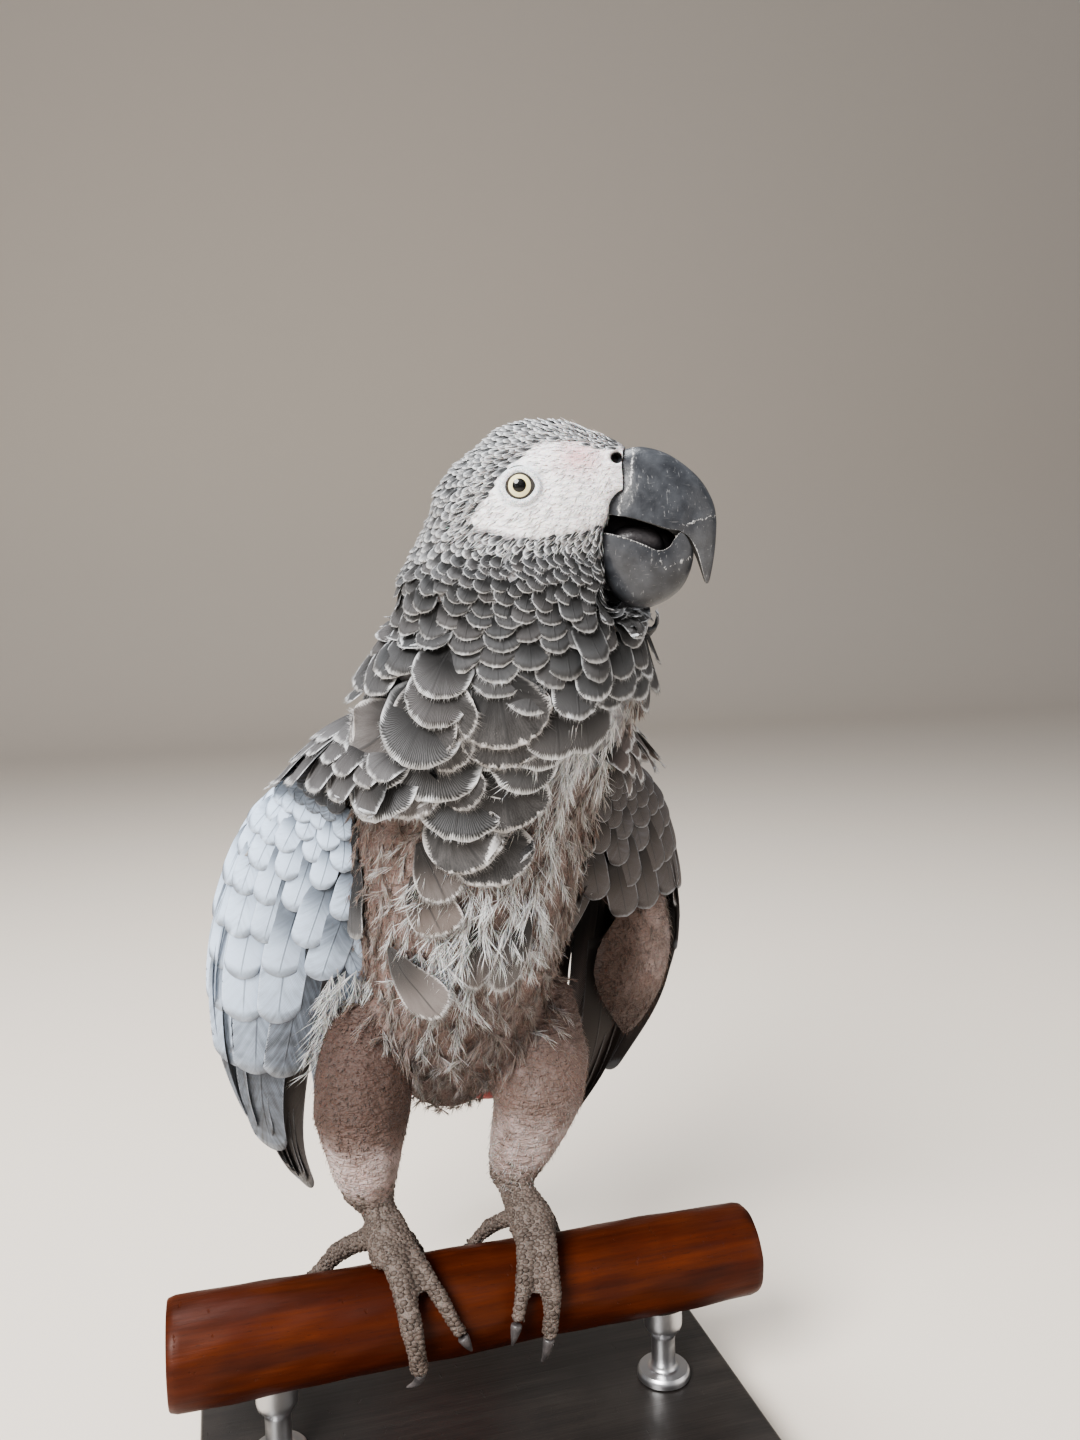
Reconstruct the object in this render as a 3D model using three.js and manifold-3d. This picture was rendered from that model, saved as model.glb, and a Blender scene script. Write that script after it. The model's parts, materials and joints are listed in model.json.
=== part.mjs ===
// A grey parrot, life size, standing on a cut length of round perch, which a low display stand carries.
// Millimetres, +Z up. The origin is the centre of the stand's underside, under the middle of the perch.
// The perch runs along X. The bird faces -Y, so that its left side is +X, and turns its head to its left.
import * as THREE from "three";
import { mergeVertices } from "three/addons/utils/BufferGeometryUtils.js";
import Module from "manifold-3d";

const wasm = await Module();
wasm.setup();

// ---------------------------------------------------------------- driving sizes

const GAP = 0.3; // clearance between two solids that meet

const PERCH = { radius: 15.5, length: 190, axisHeight: 54, taper: 0.5, wobble: 0.25 };
const STAND = { width: 176, depth: 150, thickness: 14, corner: 20, bevel: 1.6 };
const ROD = { radius: 4, footRadius: 9, footHeight: 3, cupRadius: 6.5, cupHeight: 9, reach: 64 };

const HEAD = { at: [5.4, -53.5, 250], yaw: -19, pitch: 2, roll: 0 };
const EYE = { radius: 6, out: 13.9, forward: 2.5, up: -0.5 };
const NOSTRIL = { radius: 1.8, depth: 3, forward: 26.8, out: 9.6, up: 6.6 };

const WING = { armEnd: 0.42, depth: 0.6, skin: 1.1, shift: 2, seam: 0.14 };
const TAIL = { feathers: 12, root: [0, 48, 78], droop: 42, length: 84, spread: 9, width: 15, thick: 1.2 };
const TOE = { radius: 4.5, tipRadius: 3.3, clear: 0.85 };
const CLAW = { radius: 2.3, tipRadius: 0.35 };

const COLOUR = {
  plumage: 0x5d5f64,
  down: 0xa99f99,
  bareSkin: 0xb09a93,
  covert: 0x8f959b,
  flight: 0x4c4f55,
  tail: 0xa3161c,
  foot: 0x76695f,
  horn: 0x3a3d43,
  iris: 0xe3dcb0,
  tongue: 0x2f2d31,
  wood: 0x7a3a20,
  steel: 0x8a8c90,
  base: 0x2a2624,
};

const vector = (x, y, z) => new THREE.Vector3(x, y, z);
const lerp = THREE.MathUtils.lerp;
const degrees = THREE.MathUtils.degToRad;

// ---------------------------------------------------------------- geometry and booleans

// A geometry that holds only position, with shared corners merged.
function bare(geometry) {
  const kept = geometry.clone();
  kept.deleteAttribute("normal");
  kept.deleteAttribute("uv");
  return mergeVertices(kept, 1e-4);
}

// A closed geometry as a manifold-3d solid, turned round if its faces point inwards.
function solid(geometry) {
  const merged = bare(geometry);
  const triVerts = new Uint32Array(merged.index.array);
  const build = () =>
    new wasm.Manifold(
      new wasm.Mesh({ numProp: 3, vertProperties: merged.attributes.position.array, triVerts }),
    );
  let made = build();
  if (made.volume() < 0) {
    for (let i = 0; i < triVerts.length; i += 3) {
      [triVerts[i + 1], triVerts[i + 2]] = [triVerts[i + 2], triVerts[i + 1]];
    }
    made = build();
  }
  return made;
}

const join = (...solids) => solids.reduce((sum, next) => sum.add(next));
const cut = (body, ...tools) => tools.reduce((rest, tool) => rest.subtract(tool), body);

// The largest single body of a solid, which leaves out slivers that a cut parts from it.
function mainBody(made) {
  return made.decompose().reduce((a, b) => (a.volume() > b.volume() ? a : b));
}

function geometryOf(made) {
  const mesh = made.getMesh();
  const geometry = new THREE.BufferGeometry();
  geometry.setAttribute("position", new THREE.Float32BufferAttribute(mesh.vertProperties, 3));
  geometry.setIndex(new THREE.BufferAttribute(mesh.triVerts, 1));
  geometry.computeVertexNormals();
  return geometry;
}

// A closed skin through cross-sections. A station holds its centre and its half sizes: wide along `side`, over
// on the side that lies left of `side` as the path runs, and under on the other. Centres and sizes run through
// the stations on smooth curves. A power under 1 makes the ellipses squarer.
function loft(stations, side, around, steps, grow = 0, power = 1) {
  const path = new THREE.CatmullRomCurve3(stations.map((s) => vector(...s.at)));
  const sizes = new THREE.CatmullRomCurve3(stations.map((s) => vector(s.wide, s.over, s.under)));
  const points = [];
  for (let i = 0; i <= steps; i++) {
    const along = path.getTangent(i / steps);
    const across = side.clone().addScaledVector(along, -side.dot(along)).normalize();
    const above = vector().crossVectors(along, across);
    const centre = path.getPoint(i / steps);
    const size = sizes.getPoint(i / steps);
    for (let j = 0; j < around; j++) {
      const [c, s] = [Math.cos, Math.sin].map((f) => f((2 * Math.PI * j) / around));
      const [x, y] = [c, s].map((share) => Math.sign(share) * Math.abs(share) ** power);
      const deep = (s > 0 ? size.y : size.z) + grow;
      points.push(centre.clone().addScaledVector(across, (size.x + grow) * x).addScaledVector(above, deep * y));
    }
  }
  const ends = [0, 1].map((u) => path.getPoint(u).addScaledVector(path.getTangent(u), grow * (2 * u - 1)));
  const index = [];
  for (let i = 0; i < steps; i++) {
    for (let j = 0; j < around; j++) {
      const next = (j + 1) % around;
      const [a, b, c, d] = [i * around + j, i * around + next, (i + 1) * around + next, (i + 1) * around + j];
      index.push(a, b, c, a, c, d);
    }
  }
  const [first, last] = [points.length, points.length + 1];
  for (let j = 0; j < around; j++) {
    const next = (j + 1) % around;
    index.push(first, next, j, last, steps * around + j, steps * around + next);
  }
  const geometry = new THREE.BufferGeometry().setFromPoints([...points, ...ends]);
  geometry.setIndex(index);
  return geometry;
}

// A round tapering limb through points, as a loft of circles.
function limb(points, side, around, steps, grow = 0) {
  const stations = points.map(([x, y, z, r]) => ({ at: [x, y, z], wide: r, over: r, under: r }));
  return loft(stations, side, around, steps, grow);
}

// A closed plate between two grids of points, stitched round its rim. `place` gives the point of row share a
// (0 to 1) and column number j, on the outer face or, with `inside`, on the inner one.
function plate(rows, columns, place) {
  const points = [];
  for (const inside of [false, true]) {
    for (let i = 0; i <= rows; i++) {
      for (let j = 0; j <= columns; j++) points.push(place(i / rows, j, inside));
    }
  }
  const wide = columns + 1;
  const under = (rows + 1) * wide;
  const index = [];
  for (let i = 0; i < rows; i++) {
    for (let j = 0; j < columns; j++) {
      const [a, b, c, d] = [i * wide + j, i * wide + j + 1, (i + 1) * wide + j + 1, (i + 1) * wide + j];
      index.push(a, b, c, a, c, d, under + a, under + c, under + b, under + a, under + d, under + c);
    }
  }
  const rim = [];
  for (let j = 0; j < columns; j++) rim.push(j);
  for (let i = 0; i < rows; i++) rim.push(i * wide + columns);
  for (let j = columns; j > 0; j--) rim.push(rows * wide + j);
  for (let i = rows; i > 0; i--) rim.push(i * wide);
  rim.forEach((a, k) => {
    const b = rim[(k + 1) % rim.length];
    index.push(a, under + b, b, a, under + a, under + b);
  });
  const geometry = new THREE.BufferGeometry().setFromPoints(points);
  geometry.setIndex(index);
  return geometry;
}

// ---------------------------------------------------------------- scene graph

const model = new THREE.Group();
const bird = new THREE.Group(); // its origin is on the perch's axis, midway between the feet
bird.position.set(0, 0, PERCH.axisHeight);
model.add(bird);
const headFrame = new THREE.Group(); // +X out along the beak, +Y to the bird's left, +Z up, at eye level
headFrame.position.set(...HEAD.at);
headFrame.rotation.set(degrees(HEAD.roll), -degrees(HEAD.pitch), degrees(HEAD.yaw), "ZYX");
bird.add(headFrame);

function addMesh(parent, name, shape, colour, roughness = 0.8, metalness = 0) {
  const geometry = shape.isBufferGeometry ? shape : geometryOf(shape);
  const mesh = new THREE.Mesh(geometry, new THREE.MeshStandardMaterial({ color: colour, roughness, metalness }));
  mesh.name = name;
  parent.add(mesh);
  return mesh;
}

// ---------------------------------------------------------------- perch and stand

// The perch's outline, turned about its axis: a straight branch with a slight taper and swells.
function perchSolid(grow) {
  const steps = 5;
  const outline = [new THREE.Vector2(0, -PERCH.length / 2 - grow)];
  for (let i = 0; i <= steps; i++) {
    const u = i / steps;
    const swell = PERCH.wobble * Math.sin(u * 17) - PERCH.taper * (u - 0.5) * 2;
    const end = i === 0 || i === steps ? 1.2 : 0; // eased edge of the saw cut
    outline.push(new THREE.Vector2(PERCH.radius + swell - end + grow, (u - 0.5) * (PERCH.length + 2 * grow)));
  }
  outline.push(new THREE.Vector2(0, PERCH.length / 2 + grow));
  const turned = new THREE.LatheGeometry(outline, 18);
  turned.rotateZ(-Math.PI / 2);
  return solid(turned);
}

function addStand() {
  const { width, depth, corner, thickness, bevel } = STAND;
  const [w, d, r] = [width / 2 - bevel, depth / 2 - bevel, corner];
  const outline = new THREE.Shape();
  outline.moveTo(-w + r, -d);
  outline.lineTo(w - r, -d).absarc(w - r, -d + r, r, -Math.PI / 2, 0);
  outline.lineTo(w, d - r).absarc(w - r, d - r, r, 0, Math.PI / 2);
  outline.lineTo(-w + r, d).absarc(-w + r, d - r, r, Math.PI / 2, Math.PI);
  outline.lineTo(-w, -d + r).absarc(-w + r, -d + r, r, Math.PI, Math.PI * 1.5);
  const base = new THREE.ExtrudeGeometry(outline, {
    depth: thickness - 2 * bevel,
    bevelThickness: bevel,
    bevelSize: bevel,
    bevelSegments: 1,
    curveSegments: 3,
  });
  base.translate(0, 0, bevel);
  addMesh(model, "stand_base", base, COLOUR.base, 0.45);

  const height = PERCH.axisHeight - STAND.thickness - GAP;
  const cupTop = height - PERCH.radius * 0.8;
  const profile = [
    [0, 0],
    [ROD.footRadius, 0],
    [ROD.footRadius, ROD.footHeight - 1],
    [ROD.footRadius - 1, ROD.footHeight],
    [ROD.radius + 0.8, ROD.footHeight],
    [ROD.radius, ROD.footHeight + 1],
    [ROD.radius, cupTop - ROD.cupHeight],
    [ROD.cupRadius, cupTop - ROD.cupHeight + 3],
    [ROD.cupRadius, cupTop],
    [0, cupTop],
  ].map(([x, y]) => new THREE.Vector2(x, y));
  const seat = perchSolid(GAP).translate([0, 0, height]);
  for (const [side, sign] of [["left", 1], ["right", -1]]) {
    const turned = new THREE.LatheGeometry(profile, 10);
    turned.rotateX(Math.PI / 2);
    const rod = cut(solid(turned).translate([sign * ROD.reach, 0, 0]), seat);
    const mesh = addMesh(model, `stand_rod_${side}`, rod, COLOUR.steel, 0.35, 0.9);
    mesh.position.set(0, 0, STAND.thickness + GAP);
  }
  addMesh(bird, "perch", perchSolid(0), COLOUR.wood, 0.6);
}

// ---------------------------------------------------------------- trunk, neck and head as one form

const SIDE = vector(1, 0, 0);

// The trunk and neck, from the vent up into the head: `over` is the back, `under` the belly and breast.
const TRUNK = [
  { at: [0, 72, 50], wide: 5, over: 5, under: 5 },
  { at: [0, 64, 56], wide: 13, over: 9, under: 13 },
  { at: [0, 48, 68], wide: 24, over: 18, under: 28 },
  { at: [0, 30, 92], wide: 32, over: 24, under: 34 },
  { at: [0, 12, 119], wide: 36, over: 27, under: 36 },
  { at: [0, -6, 147], wide: 38, over: 29, under: 35 },
  { at: [1, -19, 170], wide: 38, over: 30, under: 31 },
  { at: [4.5, -31, 188], wide: 38, over: 29, under: 30 },
  { at: [7.5, -41, 204], wide: 39.5, over: 29, under: 31 },
  { at: [7.5, -47, 219], wide: 37, over: 27, under: 30 },
  { at: [4, -51, 232], wide: 30, over: 23, under: 25 },
  { at: [4, -53, 246], wide: 19, over: 17, under: 17 },
  { at: [4, -54, 256], wide: 10, over: 9, under: 9 },
];

// The head along its own X axis: [forward, centre height, half width, height above it, depth below it].
const HEAD_SECTIONS = [
  [-22.5, -13, 3, 3, 4],
  [-19.5, -12, 12.5, 9, 9],
  [-13.5, -9, 17.8, 15.4, 15],
  [-7, -7, 19.2, 20, 18],
  [0, -6, 19.6, 24, 21],
  [11, -3, 18.2, 23.6, 23],
  [18, -1, 15.5, 20.6, 23],
  [24, 0.5, 12.4, 16.4, 20],
  [29, 2, 9.8, 11, 14],
  [32, 2.5, 6.5, 7.5, 8],
].map(([x, z, wide, over, under]) => ({ at: [x, 0, z], wide, over, under }));

const HEAD_SIDE = vector(0, 1, 0);
headFrame.updateMatrix();

// A solid made in the head's frame, moved to the bird's.
const inBird = (made) => made.transform(headFrame.matrix.elements);

// A box between two corners, for parting a form with thin cuts.
function block(low, high) {
  const size = high.map((h, i) => h - low[i]);
  const box = new THREE.BoxGeometry(...size);
  box.translate(...low.map((l, i) => l + size[i] / 2));
  return solid(box);
}

const FAR = 400;

// ---------------------------------------------------------------- beak, tongue and eyes, in the head's frame

// Sections of the beak: [forward, height, half width, half depth]. The upper mandible follows the culmen from
// the cere down to the hooked tip; the lower one is a scoop from the jaw to its chisel edge.
const section = ([x, z, wide, deep]) => ({ at: [x, 0, z], wide, over: deep, under: deep });
const UPPER_BEAK = [
  [25.5, 0.5, 8.2, 8],
  [31, -0.3, 8.8, 9.8],
  [36.6, -1.8, 8.4, 9.8],
  [41.8, -4.2, 7.6, 9],
  [45.9, -7.6, 6.3, 7],
  [48.2, -11.6, 4.8, 4.5],
  [49, -16.2, 3.4, 2.9],
  [49.3, -21, 2.2, 1.9],
  [49, -24.8, 1.1, 1],
  [48.5, -26.4, 0.5, 0.4],
].map(section);
const LOWER_BEAK = [
  [22.8, -20.4, 8.4, 6.6],
  [27, -22, 9.6, 8.6],
  [32, -22.8, 9.4, 8.8],
  [36.6, -22.6, 8.4, 8.6],
  [40.8, -20.9, 7, 8],
  [44, -19, 5.4, 4.6],
  [45.4, -18.8, 4.4, 1.6],
].map(section);

const JAW = 22.4; // where the lower mandible leaves the chin
const TONGUE = [
  [23.2, 0, -15.4, 4],
  [28, 0, -14.6, 3.9],
  [32.6, 0, -14.6, 3.7],
  [36.4, 0, -15.5, 3.1],
  [38.2, 0, -16.3, 1.6],
];

const upperBeakForm = (grow) => solid(loft(UPPER_BEAK, HEAD_SIDE, 12, 11, grow, 0.85));
const lowerBeakForm = (grow) => solid(loft(LOWER_BEAK, HEAD_SIDE, 10, 6, grow, 0.85));
const tongueForm = (grow) => solid(limb(TONGUE, HEAD_SIDE, 8, 5, grow));

// The open mouth: a wedge between the mandibles, from the corner of the gape to where their fronts meet.
const MOUTH = [
  [22.8, -10.6, 16, 0.6],
  [25.5, -11.4, 18, 1.8],
  [31, -12.8, 18, 2.8],
  [35, -14, 18, 3.4],
  [38.4, -14.9, 18, 2.9],
  [41.6, -14, 18, 0.8],
].map(section);
const mouthForm = () => solid(loft(MOUTH, HEAD_SIDE, 8, 6));

const eyeForm = (sign, grow) => {
  const ball = new THREE.SphereGeometry(EYE.radius + grow, 10, 7);
  ball.rotateX(Math.PI / 2);
  ball.rotateZ((sign * Math.PI) / 2);
  ball.translate(EYE.forward, sign * EYE.out, EYE.up);
  return solid(ball);
};

function nostrilForm(sign) {
  const hole = new THREE.CylinderGeometry(NOSTRIL.radius, NOSTRIL.radius * 0.8, NOSTRIL.depth * 2, 8);
  hole.rotateX(sign * degrees(24));
  hole.translate(NOSTRIL.forward, sign * NOSTRIL.out, NOSTRIL.up);
  return solid(hole);
}

// The head with its cere, cut clear of the beak, the open mouth, the eyes and the nostrils.
function headForm() {
  const throatCut = join(block([24.4, -FAR, -FAR], [FAR, FAR, -3.4]), block([JAW, -FAR, -FAR], [FAR, FAR, -9.6]));
  return cut(
    solid(loft(HEAD_SECTIONS, HEAD_SIDE, 16, 11)),
    throatCut,
    upperBeakForm(GAP),
    mouthForm(),
    eyeForm(1, GAP),
    eyeForm(-1, GAP),
    nostrilForm(1),
    nostrilForm(-1),
  );
}

function addBeak() {
  const upper = mainBody(cut(upperBeakForm(0), mouthForm()));
  const behind = block([-FAR, -FAR, -FAR], [JAW + GAP, FAR, FAR]);
  const lower = mainBody(cut(lowerBeakForm(0), mouthForm(), tongueForm(GAP), behind));
  addMesh(headFrame, "beak_upper", upper, COLOUR.horn, 0.45);
  addMesh(headFrame, "beak_lower", lower, COLOUR.horn, 0.45);
  addMesh(headFrame, "tongue", mainBody(cut(tongueForm(0), upperBeakForm(GAP))), COLOUR.tongue, 0.6);
  for (const [side, sign] of [["left", 1], ["right", -1]]) {
    addMesh(headFrame, `eye_${side}`, eyeForm(sign, 0), COLOUR.iris, 0.1);
  }
}

// ---------------------------------------------------------------- legs

// The thigh and lower leg, down to the ankle: the place of each section on the left leg, its radius, and how
// far it shifts to the bird's right on both legs, as the body leans over its feet.
const THIGH = [
  [21, 29, 96, 12, 0],
  [29, 16, 82, 16.5, 1],
  [29.5, 10, 65, 17, 4],
  [27.5, 9, 52, 13.8, 6],
  [25, 10.5, 41, 11.2, 7.7],
  [23, 11.8, 33, 8, 8.2],
  [22.6, 12.5, 30, 6, 8.2],
];

const trunkForm = (grow) => solid(loft(TRUNK, SIDE, 20, 18, grow));

function thighForm(sign, grow) {
  const points = THIGH.map(([x, y, z, r, lean]) => [sign * x - lean, y, z, r]);
  return solid(limb(points, SIDE, 11, 8, grow));
}

// A toe that lies round the perch: from angle `from` to `to`, in degrees up from straight ahead (-Y) over the
// top of the perch (90) to straight behind (180), while it runs out along the perch from x0 to x1.
function toePath(toe, foot) {
  const steps = 5;
  const points = [];
  for (let i = 0; i <= steps; i++) {
    const u = i / steps;
    const radius = lerp(TOE.radius, TOE.tipRadius, u) * toe.thick * (1 + 0.07 * Math.sin(u * 14));
    const angle = degrees(lerp(toe.from, toe.to, u));
    const reach = PERCH.radius + TOE.clear + radius + toe.lift * (1 - u);
    const along = foot.x + foot.sign * lerp(toe.x0, toe.x1, u);
    points.push([along, -reach * Math.cos(angle), reach * Math.sin(angle), radius]);
  }
  return points;
}

// Toes 2 and 3 of each foot point ahead, 1 and 4 behind. Distances along the perch are from the foot's middle.
const FEET = [
  {
    side: "left",
    sign: 1,
    x: 18.7,
    toes: [
      { number: 1, from: 100, to: 158, x0: -2, x1: -17, thick: 0.84, lift: 2.5, claw: 9.5, hook: 0 },
      { number: 2, from: 84, to: 4, x0: -3, x1: -10.4, thick: 0.84, lift: 2.5, claw: 8, hook: 0.1 },
      { number: 3, from: 84, to: -16, x0: 2.6, x1: -0.2, thick: 0.98, lift: 2.5, claw: 13, hook: 0 },
      { number: 4, from: 98, to: 184, x0: 3, x1: 16, thick: 0.96, lift: 2.5, claw: 11, hook: 0 },
    ],
  },
  {
    side: "right",
    sign: -1,
    x: -27.1,
    toes: [
      { number: 1, from: 100, to: 158, x0: -2, x1: -12, thick: 0.84, lift: 2.5, claw: 9.5, hook: 0 },
      { number: 2, from: 84, to: 2, x0: -4, x1: -18, thick: 0.84, lift: 2.5, claw: 7, hook: 0 },
      { number: 3, from: 84, to: -26, x0: 1, x1: -5, thick: 1.08, lift: 2.5, claw: 10, hook: 0.5 },
      { number: 4, from: 98, to: 168, x0: 3, x1: 24, thick: 1, lift: 2.5, claw: 11, hook: 0 },
    ],
  },
];

// A claw goes on just past the end of its toe, along a curve that bends in towards the perch.
function clawForm(toe, foot) {
  const path = toePath(toe, foot);
  const [end, before] = [vector(...path[5]), vector(...path[4])];
  const ahead = end.clone().sub(before).normalize();
  const inward = vector(0, -end.y, -end.z).normalize();
  const points = [];
  const steps = 5;
  for (let i = 0; i <= steps; i++) {
    const u = i / steps;
    const at = end
      .clone()
      .addScaledVector(ahead, GAP + u * toe.claw)
      .addScaledVector(inward, 0.34 * u * u * toe.claw);
    at.x += foot.sign * toe.hook * u * u * toe.claw;
    points.push([at.x, at.y, at.z, lerp(CLAW.radius, CLAW.tipRadius, u ** 1.2)]);
  }
  return solid(limb(points, SIDE, 6, 4));
}

// The tarsus, from the ankle down to the broad pad of the foot, leaning as the thigh does.
const TARSUS = [
  { at: [22.6, 14, 33], wide: 5.4, deep: 5.4, lean: 8 },
  { at: [22.5, 9, 30], wide: 6, deep: 5.6, lean: 7 },
  { at: [22.8, 3, 26.4], wide: 7.4, deep: 5.8, lean: 5.4 },
  { at: [22.9, -2, 22.4], wide: 8.6, deep: 6, lean: 4.2 },
  { at: [22.9, -6, 18.4], wide: 7.6, deep: 4.4, lean: 4.2 },
];

function tarsusForm(sign) {
  const stations = TARSUS.map(({ at: [x, y, z], wide, deep, lean }) => ({
    at: [sign * x - lean, y, z],
    wide,
    over: deep,
    under: deep,
  }));
  return solid(loft(stations, SIDE, 10, 4));
}

function addLegs(trunkGrown) {
  const room = new THREE.CylinderGeometry(PERCH.radius + TOE.clear, PERCH.radius + TOE.clear, PERCH.length, 18);
  room.rotateZ(Math.PI / 2);
  const perchRoom = solid(room);
  for (const foot of FEET) {
    const { side, sign, toes } = foot;
    const thigh = mainBody(cut(thighForm(sign, 0), trunkGrown));
    const sole = cut(
      join(cut(tarsusForm(sign), perchRoom), ...toes.map((toe) => solid(limb(toePath(toe, foot), SIDE, 8, 5)))),
      thighForm(sign, GAP),
    );
    addMesh(bird, `thigh_${side}`, thigh, COLOUR.bareSkin);
    addMesh(bird, `foot_${side}`, mainBody(sole), COLOUR.foot);
    toes.forEach((toe) => {
      const claw = mainBody(cut(clawForm(toe, foot), perchRoom));
      addMesh(bird, `claw_${side}_${toe.number}`, claw, COLOUR.horn, 0.4);
    });
  }
}

// ---------------------------------------------------------------- wings

// Three guide curves down the left wing, from the wrist to the tip: the leading edge by the breast, the
// widest line of its outer face, and the trailing edge over the back.
const guide = (points) => new THREE.CatmullRomCurve3(points.map((p) => vector(...p)));
const LEADING = guide([
  [38, -14, 164],
  [30, -9, 140],
  [33, 6, 114],
  [38, 22, 86],
  [46, 46, 54],
  [50, 74, 22],
  [46, 98, -8],
]);
const BULGE = guide([
  [49, 0, 175],
  [66.5, 10, 154.5],
  [76, 22, 120],
  [76.5, 38, 88],
  [71, 62, 54],
  [61, 86, 23],
  [47, 104, -5],
]);
const TRAILING = guide([
  [20, 8, 182],
  [21, 26, 159],
  [22, 44, 131],
  [24, 64, 98],
  [30, 86, 58],
  [34, 101, 25],
  [39, 112, 0],
]);

// A point of the wing's outer face: u from wrist to tip, v from the leading to the trailing edge. An inset draws
// the face's section in towards its core, by that share.
function onWing(u, v, inset = 0) {
  const [lead, bulge, trail] = [LEADING, BULGE, TRAILING].map((curve) => curve.getPoint(u));
  const core = lead.clone().add(trail).multiplyScalar(0.25).addScaledVector(bulge, 0.5);
  for (const point of [lead, bulge, trail]) point.lerp(core, inset);
  const handle = bulge.multiplyScalar(2).addScaledVector(lead, -0.5).addScaledVector(trail, -0.5);
  return lead
    .multiplyScalar((1 - v) ** 2)
    .addScaledVector(handle, 2 * v * (1 - v))
    .addScaledVector(trail, v * v);
}

// The same point, lifted off the face along its outward normal.
function wingPoint(u, v, lift, inset = 0) {
  const step = 0.01;
  const along = onWing(Math.min(u + step, 1), v, inset).sub(onWing(Math.max(u - step, 0), v, inset));
  const across = onWing(u, v + step, inset).sub(onWing(u, v - step, inset));
  return onWing(u, v, inset).addScaledVector(vector().crossVectors(across, along).normalize(), -lift);
}

// A row of feathers that overlap side by side, as one closed plate. `place` gives a point from the feather's
// number k, the share a of its length, the share b of its width and its height off the face; each feather's
// near edge lies `step` above the far edge of the one before, and its tip is rounded.
function featherRow({ count, rows, columns, thick, step }, place) {
  const across = columns + 1;
  return plate(rows, count * across - 1, (a, j, inside) => {
    const [k, b] = [Math.floor(j / across), (j % across) / columns];
    const tip = 1 - 0.05 * (2 * b - 1) ** 2;
    return place(k, a * tip, b, step * (1 - b) - (inside ? thick : 0));
  });
}

// A row of wing feathers: each lies between `start` and its own end, and the row spans the face from v0 to v1
// where it starts and from w0 to w1 at its tips. Two feathers meet at a seam, where they are equally long.
function wingRow(count, rows, { start, end, v0, v1, w0, w1, lift, inset = 0, thick = 1.1, step = 0.7 }) {
  return solid(
    featherRow({ count, rows, columns: 2, thick, step }, (k, a, b, height) => {
      const share = (k + lerp(WING.seam, 1 - WING.seam, b)) / count;
      const v = lerp(lerp(v0, v1, share), lerp(w0, w1, share), a);
      return wingPoint(lerp(start, end((k + b) / count), a), v, lift + height, inset);
    }),
  );
}

// The arm with its skin and small coverts: thick along the middle, thin at its edges, rounded at the wrist.
function armForm() {
  const { armEnd, depth, skin } = WING;
  const [rows, columns] = [7, 9];
  const rim = (b) => Math.min(1, 3 * b, 5 * (1 - b));
  const round = (a) => Math.sqrt(Math.min(1, 0.12 + a * 5));
  return solid(
    plate(rows, columns, (a, j, inside) => {
      const b = j / columns;
      if (!inside) return wingPoint(a * armEnd, b, skin * round(a));
      return wingPoint(a * armEnd, b, -0.6, depth * rim(b) * round(a) * (1 - 0.3 * a));
    }),
  );
}

function addWings(trunkGrown) {
  const { armEnd } = WING;
  const greater = wingRow(6, 2, {
    start: armEnd - 0.02,
    end: (k) => 0.58 - 0.06 * k,
    v0: 0.03,
    v1: 0.97,
    w0: 0.06,
    w1: 0.94,
    lift: 0.4,
  });
  const coverts = join(armForm(), greater);
  const flightStart = armEnd + 0.0022;
  const secondaries = wingRow(7, 6, {
    start: flightStart,
    end: (k) => 0.9 - 0.26 * k,
    v0: 0.1,
    v1: 0.98,
    w0: 0.2,
    w1: 0.92,
    lift: -1.9,
  });
  const primaries = wingRow(5, 8, {
    start: flightStart,
    end: (k) => 1 - 0.2 * (1 - k) ** 2,
    v0: 0.03,
    v1: 0.62,
    w0: 0.12,
    w1: 0.72,
    lift: -0.7,
    inset: 0.34,
    thick: 0.8,
    step: 0.4,
  });
  const placed = (made, sign) => (sign > 0 ? made : made.mirror([1, 0, 0])).translate([WING.shift, 0, 0]);
  for (const [side, sign] of [["left", 1], ["right", -1]]) {
    const body = mainBody(cut(placed(coverts, sign), trunkGrown, thighForm(sign, GAP)));
    addMesh(bird, `wing_${side}_coverts`, body, COLOUR.covert);
    addMesh(bird, `wing_${side}_secondaries`, placed(secondaries, sign), COLOUR.covert);
    addMesh(bird, `wing_${side}_primaries`, placed(primaries, sign), COLOUR.flight);
  }
}

// ---------------------------------------------------------------- tail

// The tail feathers fan out from one root. The middle pair lies on top, and each next one under it.
function addTail(trunkGrown) {
  const { feathers, root, droop, length, spread, width, thick } = TAIL;
  const half = feathers / 2;
  const row = { count: feathers, rows: 3, columns: 2, thick, step: 0 };
  const fan = featherRow(row, (k, a, b, height) => {
    const out = (k + b - half) / half;
    const under = Math.abs(k + 0.5 - half) - 0.5 + Math.abs(b - (k < half ? 1 : 0));
    const turn = degrees(spread) * out;
    const reach = a * length * (1 - 0.05 * out * out);
    const across = out * width + reach * Math.sin(turn);
    return vector(across, reach * Math.cos(turn), height - 0.55 * under - 5 * out * out);
  });
  const placed = solid(fan).rotate([-droop, 0, 0]).translate(root);
  addMesh(bird, "tail", mainBody(cut(placed, trunkGrown)), COLOUR.tail);
}

// ---------------------------------------------------------------- the parrot

// Tilted planes that part the head from the neck and the neck from the trunk, by their heights at the neck.
const PARTING = { head: 226, neck: 172, tilt: [8, -6, 0], y: -48 };

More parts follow.
